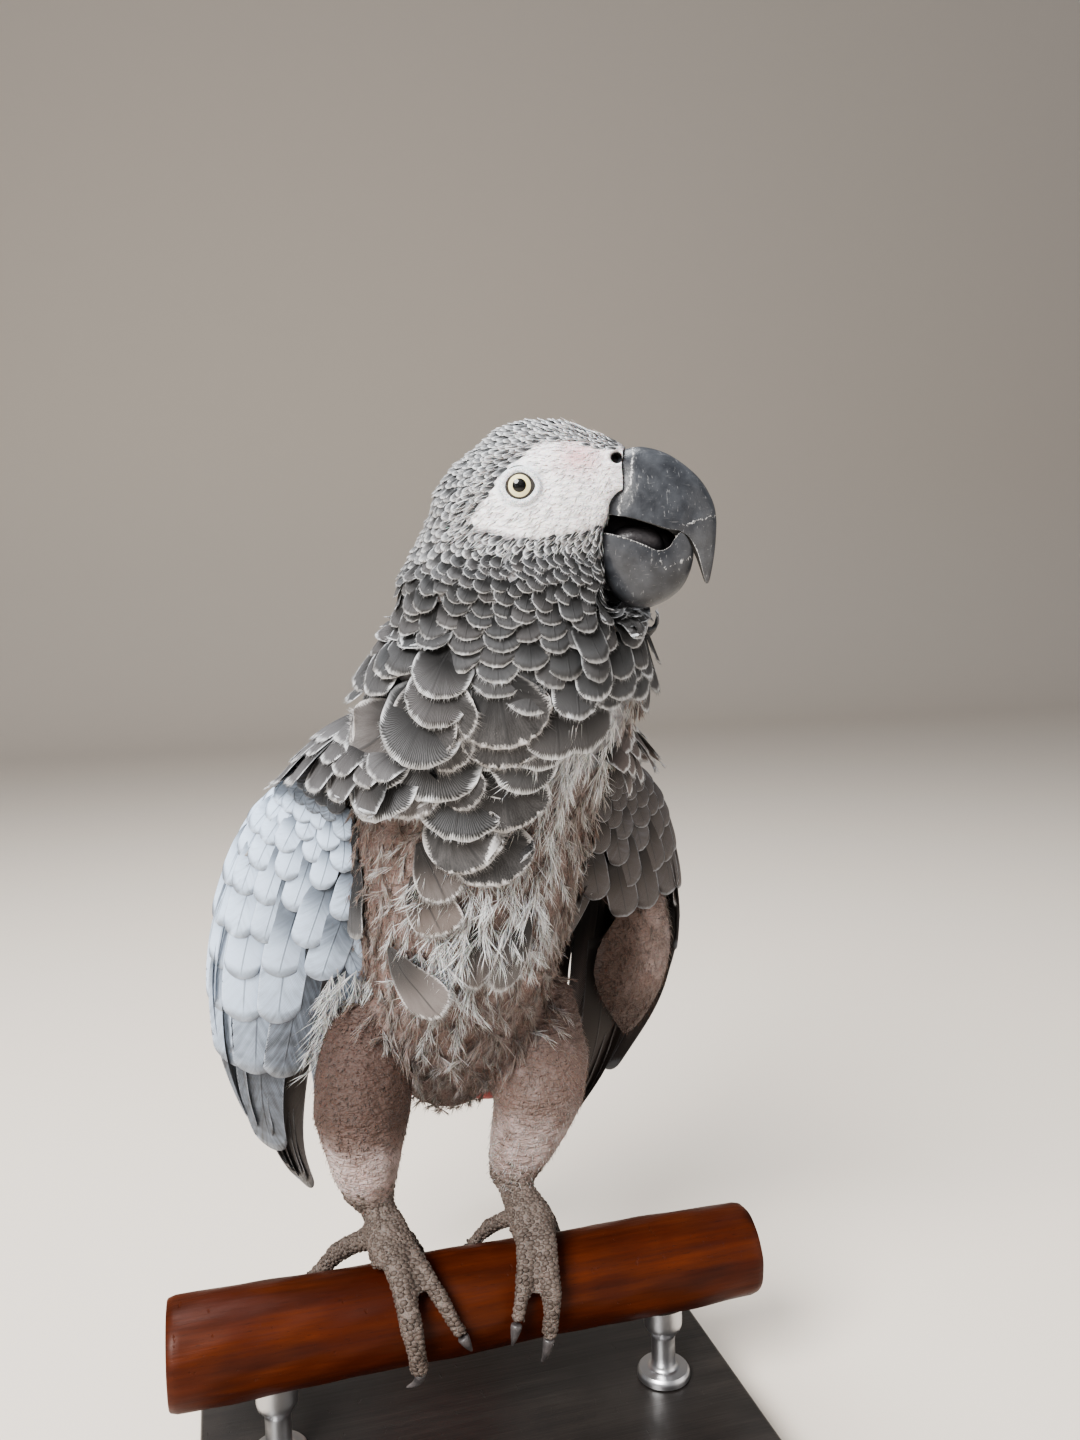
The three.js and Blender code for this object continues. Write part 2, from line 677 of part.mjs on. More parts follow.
function addBody() {
  const parted = (z, low, high) => block(low, high).rotate(PARTING.tilt).translate([0, PARTING.y, z]);
  const above = (z) => parted(z + GAP / 2, [-FAR, -FAR, 0], [FAR, FAR, FAR]);
  const below = (z) => parted(z - GAP / 2, [-FAR, -FAR, -FAR], [FAR, FAR, 0]);
  const beakRoom = inBird(block([JAW, -13, -33], [48, 13, -4]));
  const eyes = inBird(join(eyeForm(1, GAP), eyeForm(-1, GAP)));
  const whole = join(cut(trunkForm(0), beakRoom, eyes), inBird(headForm()));
  const head = mainBody(whole.intersect(above(PARTING.head)));
  const neck = mainBody(whole.intersect(below(PARTING.head)).intersect(above(PARTING.neck)));
  const trunk = mainBody(whole.intersect(below(PARTING.neck)));
  addMesh(bird, "head", head, COLOUR.plumage);
  addMesh(bird, "neck", neck, COLOUR.plumage);
  addMesh(bird, "trunk", trunk, COLOUR.down);
}

const trunkGrown = trunkForm(GAP);
addStand();
addBody();
addBeak();
addLegs(trunkGrown);
addWings(trunkGrown);
addTail(trunkGrown);

export default model;
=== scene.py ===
"""The looks of a life-size grey parrot that grips a cut perch on a low display stand.

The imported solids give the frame. One skin replaces the solids of flesh, and feathers, down, bristles and
foot scales lie over it as solid mesh. Lengths are in millimetres in the row frame until a mesh is made, and
the bird's own numbers count from the perch's axis, midway between its feet.
"""

import json
import logging
import math
from collections.abc import Callable, Sequence
from dataclasses import dataclass, field
from enum import Enum

import bpy
import numpy as np
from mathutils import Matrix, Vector
from mathutils.bvhtree import BVHTree

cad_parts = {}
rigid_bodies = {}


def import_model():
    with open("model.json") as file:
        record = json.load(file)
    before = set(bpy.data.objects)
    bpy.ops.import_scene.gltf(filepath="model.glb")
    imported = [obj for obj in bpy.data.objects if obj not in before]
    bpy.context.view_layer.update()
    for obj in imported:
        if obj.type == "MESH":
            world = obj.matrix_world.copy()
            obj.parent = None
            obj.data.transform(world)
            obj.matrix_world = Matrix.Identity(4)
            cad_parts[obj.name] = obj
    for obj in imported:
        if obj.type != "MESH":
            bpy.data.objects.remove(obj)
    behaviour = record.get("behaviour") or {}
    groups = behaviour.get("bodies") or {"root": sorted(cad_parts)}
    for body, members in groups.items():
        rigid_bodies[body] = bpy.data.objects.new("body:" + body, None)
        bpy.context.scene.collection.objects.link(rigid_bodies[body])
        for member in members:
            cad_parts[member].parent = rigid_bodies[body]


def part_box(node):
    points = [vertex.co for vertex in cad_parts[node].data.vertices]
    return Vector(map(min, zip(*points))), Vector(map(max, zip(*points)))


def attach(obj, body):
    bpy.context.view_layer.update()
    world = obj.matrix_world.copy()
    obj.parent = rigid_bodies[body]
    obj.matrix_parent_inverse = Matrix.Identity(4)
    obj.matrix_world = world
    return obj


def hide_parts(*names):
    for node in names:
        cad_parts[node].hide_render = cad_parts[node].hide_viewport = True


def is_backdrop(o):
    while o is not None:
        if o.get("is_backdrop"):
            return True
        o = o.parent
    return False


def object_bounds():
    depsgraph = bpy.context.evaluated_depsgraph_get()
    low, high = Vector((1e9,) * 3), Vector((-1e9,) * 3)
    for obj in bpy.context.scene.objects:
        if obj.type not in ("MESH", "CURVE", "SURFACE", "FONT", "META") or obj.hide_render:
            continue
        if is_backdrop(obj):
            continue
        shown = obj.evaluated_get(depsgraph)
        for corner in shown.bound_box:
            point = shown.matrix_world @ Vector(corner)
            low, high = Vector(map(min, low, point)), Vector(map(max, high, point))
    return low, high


LOG = logging.getLogger("parrot")
MM = 0.001
TURN = 2 * math.pi
WELD = 0.00002
PATCH = 0.003
SEED = 11
Array = np.ndarray
Piece = bpy.types.Object
Material = bpy.types.Material
Tint = tuple[float, float, float]


# ---------------------------------------------------------------- small maths


def smooth_step(low: float, high: float, value: Array) -> Array:
    """Runs from 0 to 1 as the value goes from low to high, with eased ends."""
    share = np.clip((np.asarray(value, float) - low) / (high - low), 0.0, 1.0)
    return share * share * (3.0 - 2.0 * share)


def bump(value: Array, middle: float | Array, width: float) -> Array:
    """A bell curve of height 1."""
    return np.exp(-(((value - middle) / width) ** 2))


def unit(vectors: Array) -> Array:
    """The vectors at length 1."""
    return vectors / np.maximum(np.linalg.norm(vectors, axis=-1, keepdims=True), 1e-9)


def dot(a: Array, b: Array) -> Array:
    """The dot product along the last axis, which is kept."""
    return np.sum(a * b, axis=-1, keepdims=True)


def curve_through(points: Sequence[Sequence[float]], shares: Array) -> Array:
    """Points on a smooth curve through the given ones.

    Args:
        points: The points, of any dimension.
        shares: Places along the curve, from 0 at the first point to 1 at the last.

    Returns:
        One row for each share.
    """
    knots = np.asarray(points, float)
    knots = np.vstack([2 * knots[0] - knots[1], knots, 2 * knots[-1] - knots[-2]])
    place = np.clip(np.asarray(shares, float), 0, 1) * (len(knots) - 3)
    index = np.minimum(place.astype(int), len(knots) - 4)
    t = (place - index)[..., None]
    a, b, c, d = (knots[index + k] for k in range(4))
    return 0.5 * (2 * b + (c - a) * t + (2 * a - 5 * b + 4 * c - d) * t**2 + (3 * b - a - 3 * c + d) * t**3)


def inside_by(outline: Array, points: Array) -> Array:
    """How far points of a plane lie inside a closed outline, negative outside."""
    start, end = outline, np.roll(outline, -1, axis=0)
    away = points[:, None] - start[None]
    edge = end - start
    share = np.clip(np.sum(away * edge, -1) / np.sum(edge**2, -1), 0, 1)
    nearest = np.linalg.norm(away - edge * share[..., None], axis=-1).min(1)
    over = (start[:, 1] > points[:, 1:]) != (end[:, 1] > points[:, 1:])
    rise = np.where(edge[:, 1] == 0, 1e-9, edge[:, 1])
    cross = start[:, 0] + edge[:, 0] * (points[:, 1:] - start[:, 1]) / rise
    inside = (over & (points[:, :1] < cross)).sum(1) % 2 == 1
    return np.where(inside, nearest, -nearest)


def dim(tint: Tint, share: float) -> Tint:
    """A colour at a share of its strength."""
    return tuple(c * share for c in tint)


def read(items: object, name: str, each: int = 1, kind: type = float) -> Array:
    """One property of many mesh items, with `each` numbers for an item."""
    values = np.empty(len(items) * each, kind)
    items.foreach_get(name, values)
    return values.reshape(-1, each) if each > 1 else values


def deselect() -> None:
    """Leaves nothing selected, in object mode."""
    if bpy.context.object and bpy.context.object.mode != "OBJECT":
        bpy.ops.object.mode_set(mode="OBJECT")
    bpy.ops.object.select_all(action="DESELECT")


def make_active(piece: Piece) -> None:
    """Selects one object alone and makes it the active one."""
    deselect()
    piece.select_set(True)
    bpy.context.view_layer.objects.active = piece


def apply_modifier(piece: Piece, kind: str, **settings: object) -> None:
    """Adds a modifier to a piece and applies it."""
    make_active(piece)
    modifier = piece.modifiers.new(kind.lower(), kind)
    for name, value in settings.items():
        setattr(modifier, name, value)
    bpy.ops.object.modifier_apply(modifier=modifier.name)


def edit(piece: Piece, kind: str, chosen: Array, operator: Callable, **settings: object) -> None:
    """Runs an edit-mode operator on chosen points or edges of a piece.

    Args:
        piece: The piece.
        kind: VERT for points or EDGE for edges.
        chosen: Whether each one is chosen.
        operator: The operator, which gets the settings.
        settings: The operator's own settings.
    """
    make_active(piece)
    bpy.ops.object.mode_set(mode="EDIT")
    bpy.ops.mesh.select_mode(type=kind)
    bpy.ops.mesh.select_all(action="DESELECT")
    bpy.ops.object.mode_set(mode="OBJECT")
    items = piece.data.vertices if kind == "VERT" else piece.data.edges
    items.foreach_set("select", chosen)
    bpy.ops.object.mode_set(mode="EDIT")
    operator(**settings)
    bpy.ops.object.mode_set(mode="OBJECT")


def shade_smooth(piece: Piece, angle: float = 180.0) -> None:
    """Shades a piece smooth across edges that turn less than the angle, in degrees."""
    make_active(piece)
    if angle >= 180:
        bpy.ops.object.shade_smooth()
    else:
        bpy.ops.object.shade_smooth_by_angle(angle=math.radians(angle))


def points_of(piece: Piece) -> Array:
    """The piece's points, in millimetres."""
    return read(piece.data.vertices, "co", 3) / MM


def box_of(name: str) -> tuple[Array, Array]:
    """The lowest and highest corner of a solid, in millimetres."""
    return tuple(np.array(corner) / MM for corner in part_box(name))


def place_points(piece: Piece, points: Array) -> None:
    """Moves the piece's points to the given ones, in millimetres."""
    piece.data.vertices.foreach_set("co", (points * MM).astype(np.float32).ravel())
    piece.data.update()


def paint(piece: Piece, name: str, values: Array) -> None:
    """Stores four numbers for each point of a piece as a colour attribute."""
    layer = piece.data.attributes.new(name, "FLOAT_COLOR", "POINT")
    layer.data.foreach_set("color", values.astype(np.float32).ravel())


def map_corners(piece: Piece, name: str, values: Array) -> None:
    """Stores a UV map that gives each corner the pair of numbers of its point."""
    layer = piece.data.uv_layers.new(name=name)
    corners = read(piece.data.loops, "vertex_index", 1, np.int32)
    layer.data.foreach_set("uv", values[corners].astype(np.float32).ravel())


# ---------------------------------------------------------------- shader maths


def math_node(operation: str) -> Callable:
    """A method of Value that adds one Math node, on the value and up to one more."""

    def method(self: "Value", *others: "Value | float") -> "Value":
        """Adds the node and returns its result."""
        made = self.finish.node("ShaderNodeMath", {"operation": operation}, [self, *others])
        return Value(self.finish, made.outputs[0])

    return method


class Value:
    """A number socket on which Python's operators and a few methods add Math nodes."""

    def __init__(self, finish: "Finish", socket: bpy.types.NodeSocket) -> None:
        """Wraps a socket of a finish's node tree."""
        self.finish = finish
        self.socket = socket

    __add__ = __radd__ = math_node("ADD")
    __mul__ = __rmul__ = math_node("MULTIPLY")
    __sub__ = math_node("SUBTRACT")
    absolute = math_node("ABSOLUTE")
    sine = math_node("SINE")
    angle = math_node("ARCTAN2")
    at_least = math_node("MAXIMUM")

    def __rsub__(self, other: float) -> "Value":
        """The difference from a number."""
        return (self * -1.0) + other

    def step(self, low: float, high: float) -> "Value":
        """Runs from 0 to 1 as the value goes from low to high, with eased ends."""
        settings = {"interpolation_type": "SMOOTHSTEP"}
        inputs = {"Value": self, "From Min": low, "From Max": high}
        if low > high:
            inputs = {"Value": self, "From Min": high, "From Max": low, "To Min": 1.0, "To Max": 0.0}
        return Value(self.finish, self.finish.node("ShaderNodeMapRange", settings, inputs).outputs["Result"])


class Finish:
    """A material under construction: a Principled shader and the nodes that feed it."""

    def __init__(self, name: str) -> None:
        """Starts an empty material of that name."""
        self.material = bpy.data.materials.new(name)
        self.material.use_nodes = True
        self.tree = self.material.node_tree
        self.shader = self.tree.nodes["Principled BSDF"]

    def node(self, kind: str, settings: dict | None = None, inputs: dict | list = ()) -> bpy.types.Node:
        """Adds one node.

        Args:
            kind: The node's type.
            settings: Its own settings, such as an operation, which are set first.
            inputs: Values or links for its sockets, by name or in order.

        Returns:
            The node.
        """
        made = self.tree.nodes.new(kind)
        for name, value in (settings or {}).items():
            setattr(made, name, value)
        pairs = inputs.items() if isinstance(inputs, dict) else enumerate(inputs)
        for key, value in pairs:
            self.feed(made.inputs[key], value)
        return made

    def feed(self, socket: bpy.types.NodeSocket, value: object) -> None:
        """Gives a socket a value or a link."""
        if isinstance(value, Value):
            self.tree.links.new(value.socket, socket)
        elif isinstance(value, bpy.types.NodeSocket):
            self.tree.links.new(value, socket)
        elif isinstance(value, tuple) and len(value) == 3 and socket.type == "RGBA":
            socket.default_value = (*value, 1.0)
        else:
            socket.default_value = value

    def place(self, *scale: float) -> object:
        """The object's own coordinates in millimetres, stretched along each axis."""
        coordinates = self.node("ShaderNodeTexCoord").outputs["Object"]
        inputs = {"Vector": coordinates, "Scale": dim(scale or (1.0, 1.0, 1.0), 1 / MM)}
        return self.node("ShaderNodeMapping", None, inputs).outputs["Vector"]

    def noise(self, size: float, detail: float = 3.0, vector: object = None, rough: float = 0.55) -> Value:
        """Smooth noise from 0 to 1 whose lumps are about `size` millimetres across."""
        inputs = {"Scale": 1.0 / size, "Detail": detail, "Roughness": rough}
        inputs["Vector"] = vector if vector is not None else self.place()
        return Value(self, self.node("ShaderNodeTexNoise", None, inputs).outputs[0])

    def cells(self, size: float, feature: str = "F1") -> Value:
        """Distance in a pattern of cells about `size` millimetres across."""
        inputs = {"Scale": 1.0 / size, "Vector": self.place()}
        made = self.node("ShaderNodeTexVoronoi", {"feature": feature}, inputs)
        return Value(self, made.outputs["Distance"])

    def attribute(self, name: str) -> tuple[Value, Value, Value, Value]:
        """The four numbers of a colour attribute."""
        made = self.node("ShaderNodeAttribute", {"attribute_name": name})
        parts = self.node("ShaderNodeSeparateColor", None, [made.outputs["Color"]])
        return (*(Value(self, socket) for socket in parts.outputs), Value(self, made.outputs["Alpha"]))

    def uv(self, name: str) -> tuple[Value, Value]:
        """The two numbers of a UV map."""
        made = self.node("ShaderNodeUVMap", {"uv_map": name})
        parts = self.node("ShaderNodeSeparateXYZ", None, [made.outputs["UV"]])
        return Value(self, parts.outputs[0]), Value(self, parts.outputs[1])

    def mix(self, share: object, first: object, second: object) -> bpy.types.NodeSocket:
        """One colour laid over another by a share."""
        inputs = {0: share, 6: first, 7: second}
        return self.node("ShaderNodeMix", {"data_type": "RGBA"}, inputs).outputs[2]

    def relief(self, height: Value, depth: float, below: object = None, strength: float = 1.0) -> object:
        """A bump of `depth` millimetres, laid over another one."""
        inputs = {"Height": height, "Distance": depth * MM, "Strength": strength}
        if below is not None:
            inputs["Normal"] = below
        return self.node("ShaderNodeBump", None, inputs).outputs["Normal"]

    def done(self, color: object, roughness: object, normal: object = None, **fixed: object) -> Material:
        """Feeds the shader and returns the material; `fixed` holds constants by socket name."""
        self.feed(self.shader.inputs["Base Color"], color)
        self.feed(self.shader.inputs["Roughness"], roughness)
        if normal is not None:
            self.feed(self.shader.inputs["Normal"], normal)
        for name, value in fixed.items():
            self.feed(self.shader.inputs[name.replace("_", " ")], value)
        return self.material


# ---------------------------------------------------------------- finishes


@dataclass(frozen=True)
class FeatherFinish:
    """A feather's vane: barbs from the shaft, a pale worn fringe, and painted shade towards the covered root.
    """

    name: str
    dark: Tint
    light: Tint
    fringe: Tint
    warm: Tint
    shaft: Tint
    rim: tuple[float, float] = (0.16, 0.07)
    lines: float = 150.0
    focus: float | None = 0.3
    aspect: float = 0.42
    roughness: float = 0.66
    sheen: float = 0.05
    barbs: float = 0.25
    line: float = 0.55
    wild: float = 3.0
    # The painted root shade: none beyond the first share along the vane, full at the second and below.
    painted_root_shade: tuple[float, float] = (0.75, 0.1)
    streak: float = 14.0

    def make(self) -> Material:
        """Builds the material. It reads the UV map `vane` and the attribute `tone`."""
        f = Finish(self.name)
        across, along = f.uv("vane")
        shade, pale, warm, chance = f.attribute("tone")
        over = (across - 0.5) * 2.0
        side = over.absolute()
        grain = f.noise(0.8, 3.0)
        if self.focus is None:
            fan = along - side * self.aspect
        else:
            fan = (over * self.aspect).angle((along - self.focus).at_least(0.03))
        barbs = (fan * self.lines + grain * self.wild).sine() * 0.5 + 0.5
        lay = f.node("ShaderNodeCombineXYZ", None, [fan * self.streak, along * 2.5, chance * 30.0])
        streak = f.noise(1.0, 3.0, lay.outputs[0])
        wide, deep = self.rim
        near = ((side - (1.0 - wide)) * (1.0 / wide)).at_least((along - (1.0 - deep)) * (1.0 / deep))
        edge = (near + barbs * 0.5 + streak * 1.5 - 1.05).step(0.0, 0.9)
        blotch = f.noise(6.0, 2.0)
        cloud = shade + blotch * 0.3 + streak * 0.7 - 0.5 + chance * 0.16 - 0.08
        body = f.mix(cloud.step(0.0, 1.0), self.dark, self.light)
        body = f.mix(warm, body, self.warm)
        body = f.mix(barbs * self.barbs * along.step(0.1, 0.9), body, self.fringe)
        body = f.mix(edge * pale, body, self.fringe)
        line = side.step(0.06, 0.012) * along.step(1.0, 0.8)
        body = f.mix(line * self.line, body, self.shaft)
        # Painted shade: the vane darkens towards its root, where the feather above overlaps it.
        body = f.mix(along.step(*self.painted_root_shade) * 0.78, body, dim(self.dark, 0.3))
        normal = f.relief(barbs, 0.035)
        normal = f.relief(line, 0.12, normal)
        return f.done(
            body, barbs * 0.08 + (self.roughness - 0.04), normal,
            Sheen_Weight=self.sheen, Sheen_Roughness=0.45, Specular_IOR_Level=0.3,
        )


@dataclass(frozen=True)
class DownFinish:
    """Loose down and bristles: soft, nearly white, browner towards the root, and darkened where the tone
    carries painted shade.
    """

    name: str
    pale: Tint
    warm: Tint
    roughness: float = 0.8

    def make(self) -> Material:
        """Builds the material. It reads the UV map `vane` and the attribute `tone`."""
        f = Finish(self.name)
        _, along = f.uv("vane")
        shade, _, warm, chance = f.attribute("tone")
        body = f.mix((warm + f.noise(5.0, 2.0) * 0.3 - 0.15).step(0.0, 1.0), self.pale, self.warm)
        body = f.mix((1.0 - shade) * 0.75, body, dim(self.warm, 0.42))
        body = f.mix(along.step(0.45, 0.0) * 0.5 + chance * 0.1, body, dim(self.warm, 0.6))
        # Painted shade: a negative shade in the tone darkens the strands to deep brown.
        body = f.mix(shade.step(0.0, -0.3), body, dim(self.warm, 0.16))
        return f.done(
            body, self.roughness, None, Sheen_Weight=0.12, Sheen_Roughness=0.5, Specular_IOR_Level=0.25,
            Subsurface_Weight=0.15, Subsurface_Scale=0.001,
        )


@dataclass(frozen=True)
class SkinFinish:
    """Bare skin: white on the face, pinkish brown where it is plucked, grey under feathers, with painted
    shade and light.
    """

    plucked: Tint = (0.175, 0.125, 0.110)
    pale_leg: Tint = (0.46, 0.38, 0.37)
    face: Tint = (0.93, 0.91, 0.92)
    blush: Tint = (0.70, 0.42, 0.43)
    under: Tint = (0.20, 0.20, 0.21)
    foot: Tint = (0.10, 0.08, 0.07)
    mouth: Tint = (0.022, 0.02, 0.022)
    lid: Tint = (0.55, 0.60, 0.66)

    def make(self) -> Material:
        """Builds the material. It reads the attributes `zones` and `flush_and_painted_shading`, which also
        carry painted shade and painted light.
        """
        f = Finish("bare skin")
        coat, face, foot, mouth = f.attribute("zones")
        blush, pale, lid, painted_shade = f.attribute("flush_and_painted_shading")
        mottle = f.noise(6.0, 4.0)
        fine = f.noise(0.8, 3.0)
        pores = f.cells(1.5)
        # The paleness lightens the shins, and as painted light the lobe's upper outer part.
        body = f.mix((mottle * 1.5 - 0.65 + pale).step(0.0, 1.0), self.plucked, self.pale_leg)
        body = f.mix(f.noise(14.0, 2.0).step(0.45, 0.75) * 0.35, body, (0.38, 0.24, 0.21))
        body = f.mix(pores.step(0.2, 0.08) * 0.2, body, (0.2, 0.12, 0.10))
        body = f.mix(coat, body, f.mix(mottle, self.under, dim(self.under, 1.5)))
        hairs = f.noise(1.9, 4.0, f.place(0.6, 1.9, 1.9))
        white = f.mix(hairs.step(0.54, 0.38) * 0.55, self.face, (0.46, 0.44, 0.47))
        white = f.mix(blush * (fine * 0.6 + 0.5), white, self.blush)
        cracks = f.cells(0.62, "DISTANCE_TO_EDGE").step(0.16, 0.0) * lid
        white = f.mix(cracks, f.mix(lid, white, self.lid), self.face)
        body = f.mix(face, body, white)
        horny = f.mix(f.noise(2.2, 3.0), self.foot, dim(self.foot, 1.9))
        body = f.mix(foot, body, horny)
        # Painted shade: dark brown laid over the flanks, the arms' skin, the lobe and the tops of the thighs.
        body = f.mix(painted_shade, body, (0.055, 0.031, 0.024))
        # Near black inside the mouth and in the nostril holes: dark flesh deepened by painted shade, and
        # painted shade in the holes.
        body = f.mix(mouth, body, self.mouth)
        creases = f.noise(1.1, 4.0, f.place(1.0, 1.0, 2.6))
        normal = f.relief(creases, 0.45, strength=0.8)
        normal = f.relief(f.noise(3.4, 2.0, f.place(1.0, 1.0, 2.2)) * (1.0 - face), 1.6, normal)
        normal = f.relief(pores.step(0.35, 0.0) * (1.0 - face), 0.35, normal)
        normal = f.relief(fine, 0.12, normal)
        normal = f.relief(hairs * face, 0.9, normal)
        return f.done(
            body, fine * 0.2 + 0.5 - mouth * 0.2, normal, Subsurface_Weight=0.12, Subsurface_Scale=0.0015,
            Specular_IOR_Level=0.4,
        )


@dataclass(frozen=True)
class HornFinish:
    """Dark horn with pale flakes where its layers lift, and painted shade on the inner faces. It reads the
    attribute `flakes`.
    """

    name: str
    deep: Tint = (0.022, 0.024, 0.029)
    worn: Tint = (0.050, 0.054, 0.062)
    flake: Tint = (0.50, 0.50, 0.50)
    roughness: float = 0.34

    def make(self) -> Material:
        """Builds the material."""
        f = Finish(self.name)
        edge, groove, dust, _ = f.attribute("flakes")
        cloud = f.noise(4.5, 4.0)
        fine = f.noise(0.45, 4.0)
        body = f.mix(cloud.step(0.32, 0.72), self.deep, self.worn)
        scratch = f.noise(1.0, 5.0, f.place(0.35, 0.5, 2.2)).step(0.62, 0.74)
        speck = f.cells(1.7).step(0.10, 0.03)
        broken = (edge * 1.25 + fine * 2.4 + cloud * 0.6 - 2.15).step(0.05, 0.5)
        thin = f.noise(1.0, 4.0, f.place(1.9, 0.4, 0.5)).step(0.64, 0.70)
        body = f.mix((scratch * 0.2 + thin * 0.22 + speck * 0.3 + dust * fine * 0.5), body, self.flake)
        body = f.mix(broken * 0.85, body, self.flake)
        # Painted shade: the mandibles' inner faces, inside the mouth, are made far darker.
        body = f.mix(groove * 0.75, body, dim(self.deep, 0.35))
        rough = cloud * 0.14 + broken * 0.35 + (self.roughness - 0.05)
        normal = f.relief(cloud, 0.25)
        normal = f.relief(broken, 0.16, normal)
        normal = f.relief(fine, 0.03, normal)
        return f.done(body, rough, normal, Specular_IOR_Level=0.5, Coat_Roughness=0.3, Coat_Weight=0.12)


@dataclass(frozen=True)
class FleshFinish:
    """Damp dark flesh inside the beak."""

    name: str
    deep: Tint
    high: Tint
    lumps: float
    roughness: float

    def make(self) -> Material:
        """Builds the material."""
        f = Finish(self.name)
        lumps = f.noise(self.lumps, 3.0)
        body = f.mix(lumps, self.deep, self.high)
        return f.done(body, lumps * 0.2 + self.roughness, f.relief(lumps, 0.2))


@dataclass(frozen=True)
class EyeFinish:
    """A wet eye: pupil, pale yellow iris with fine rays, dark rim. It reads the attribute `gaze`."""

    iris: Tint = (0.80, 0.74, 0.46)
    inner: Tint = (0.62, 0.55, 0.30)
    rim: Tint = (0.03, 0.025, 0.02)

    def make(self) -> Material:
        """Builds the material."""
        f = Finish("wet eye")
        out, turn, _, _ = f.attribute("gaze")
        rays = (turn * 251.3 + f.noise(0.5, 2.0) * 7.0).sine() * 0.5 + 0.5
        body = f.mix(rays * 0.25 + f.noise(0.7, 3.0) * 0.3, self.iris, self.inner)
        body = f.mix(out.step(0.34, 0.28) * 0.5, body, self.inner)
        body = f.mix(out.step(0.45, 0.475), body, self.rim)
        body = f.mix(out.step(0.288, 0.272), body, (0.001, 0.001, 0.001))
        normal = f.relief(rays, 0.02)
        return f.done(body, 0.35, normal, Coat_Weight=0.8, Coat_Roughness=0.02, Specular_IOR_Level=0.1)


@dataclass(frozen=True)
class ScaleFinish:
    """Dry grey-brown foot scales with paler worn tops. It reads the attribute `tone`."""

    deep: Tint = (0.062, 0.046, 0.038)
    worn: Tint = (0.135, 0.106, 0.090)

    def make(self) -> Material:
        """Builds the material."""
        f = Finish("foot scales")
        _, top, _, chance = f.attribute("tone")
        cloud = f.noise(5.0, 3.0)
        body = f.mix((cloud * 0.9 + chance * 0.35 - 0.25).step(0.0, 1.0), self.deep, self.worn)
        body = f.mix(top.step(0.5, 0.0) * 0.75, body, (0.045, 0.034, 0.029))
        body = f.mix(f.noise(11.0, 2.0).step(0.5, 0.75) * 0.25, body, (0.24, 0.17, 0.15))
        normal = f.relief(f.noise(0.5, 4.0), 0.1)
        return f.done(body, cloud * 0.15 + 0.5, normal, Specular_IOR_Level=0.4)


@dataclass(frozen=True)
class WoodFinish:
    """Wood whose grain runs along the row's X axis, with knots, stains and scratches."""

    name: str
    dark: Tint
    middle: Tint
    light: Tint
    roughness: float
    coat: float
    knots: float = 0.0
    gloss: float = 0.5

    def make(self) -> Material:
        """Builds the material."""
        f = Finish(self.name)
        bend = f.noise(30.0, 2.0)
        fibre = f.noise(1.0, 5.0, f.place(0.035, 0.9, 0.9), 0.62)
        bands = f.noise(5.5, 4.0, f.place(0.10, 1.0, 1.0))
        pores = f.noise(0.35, 2.0, f.place(0.10, 1.0, 1.0)).step(0.63, 0.75)
        stain = f.noise(22.0, 3.0)
        body = f.mix((bands * 0.9 + bend * 0.5 - 0.2).step(0.15, 0.85), self.dark, self.light)
        body = f.mix(stain.step(0.35, 0.7) * 0.7, body, self.middle)
        body = f.mix(fibre.step(0.3, 0.7) * 0.3, body, self.dark)
        body = f.mix(pores * 0.5, body, dim(self.dark, 0.35))
        knot = f.cells(46.0).step(0.16, 0.05) * self.knots
        body = f.mix(knot * 0.85, body, dim(self.dark, 0.22))
        scratch = f.noise(1.0, 4.0, f.place(0.5, 0.14, 0.5)).step(0.66, 0.75)
        body = f.mix(scratch * 0.22, body, self.light)
        normal = f.relief(fibre, 0.12)
        normal = f.relief(scratch * -1.0 + knot * -0.8, 0.2, normal)
        rough = fibre * 0.2 + scratch * 0.15 + (self.roughness - 0.1)
        return f.done(
            body, rough, normal, Coat_Weight=self.coat, Coat_Roughness=0.25, Specular_IOR_Level=self.gloss
        )


@dataclass(frozen=True)
class SteelFinish:
    """Steel brushed round the rod."""

    tint: Tint = (0.60, 0.60, 0.61)

    def make(self) -> Material:
        """Builds the material."""
        f = Finish("brushed steel rod")
        lines = f.noise(0.4, 3.0, f.place(0.05, 0.05, 2.2))
        body = f.mix(lines * 0.5, self.tint, dim(self.tint, 0.72))
        return f.done(body, lines * 0.2 + 0.24, f.relief(lines, 0.02), Metallic=1.0)


@dataclass(frozen=True)
class FloorFinish:
    """A plain pale studio floor."""

    tint: Tint = (0.74, 0.67, 0.59)

    def make(self) -> Material:
        """Builds the material."""
        f = Finish("studio floor")
        body = f.mix(f.noise(60.0, 2.0) * 0.25, self.tint, dim(self.tint, 0.95))
        return f.done(body, 0.75)


# ---------------------------------------------------------------- frames


@dataclass
class BirdFrame:
    """The bird's own frame: its origin is on the perch's axis, midway between the feet, and it faces -Y."""

    rise: float = field(init=False)

    def __post_init__(self) -> None:
        """Reads the height of the perch's axis."""
        low, high = box_of("perch")
        self.rise = (low[2] + high[2]) / 2

    def out(self, points: Sequence) -> Array:
        """Points of the bird's frame in the row frame."""
        return np.asarray(points, float) + (0.0, 0.0, self.rise)

    def into(self, points: Array) -> Array:
        """Points of the row frame in the bird's frame."""
        return np.asarray(points, float) - (0.0, 0.0, self.rise)


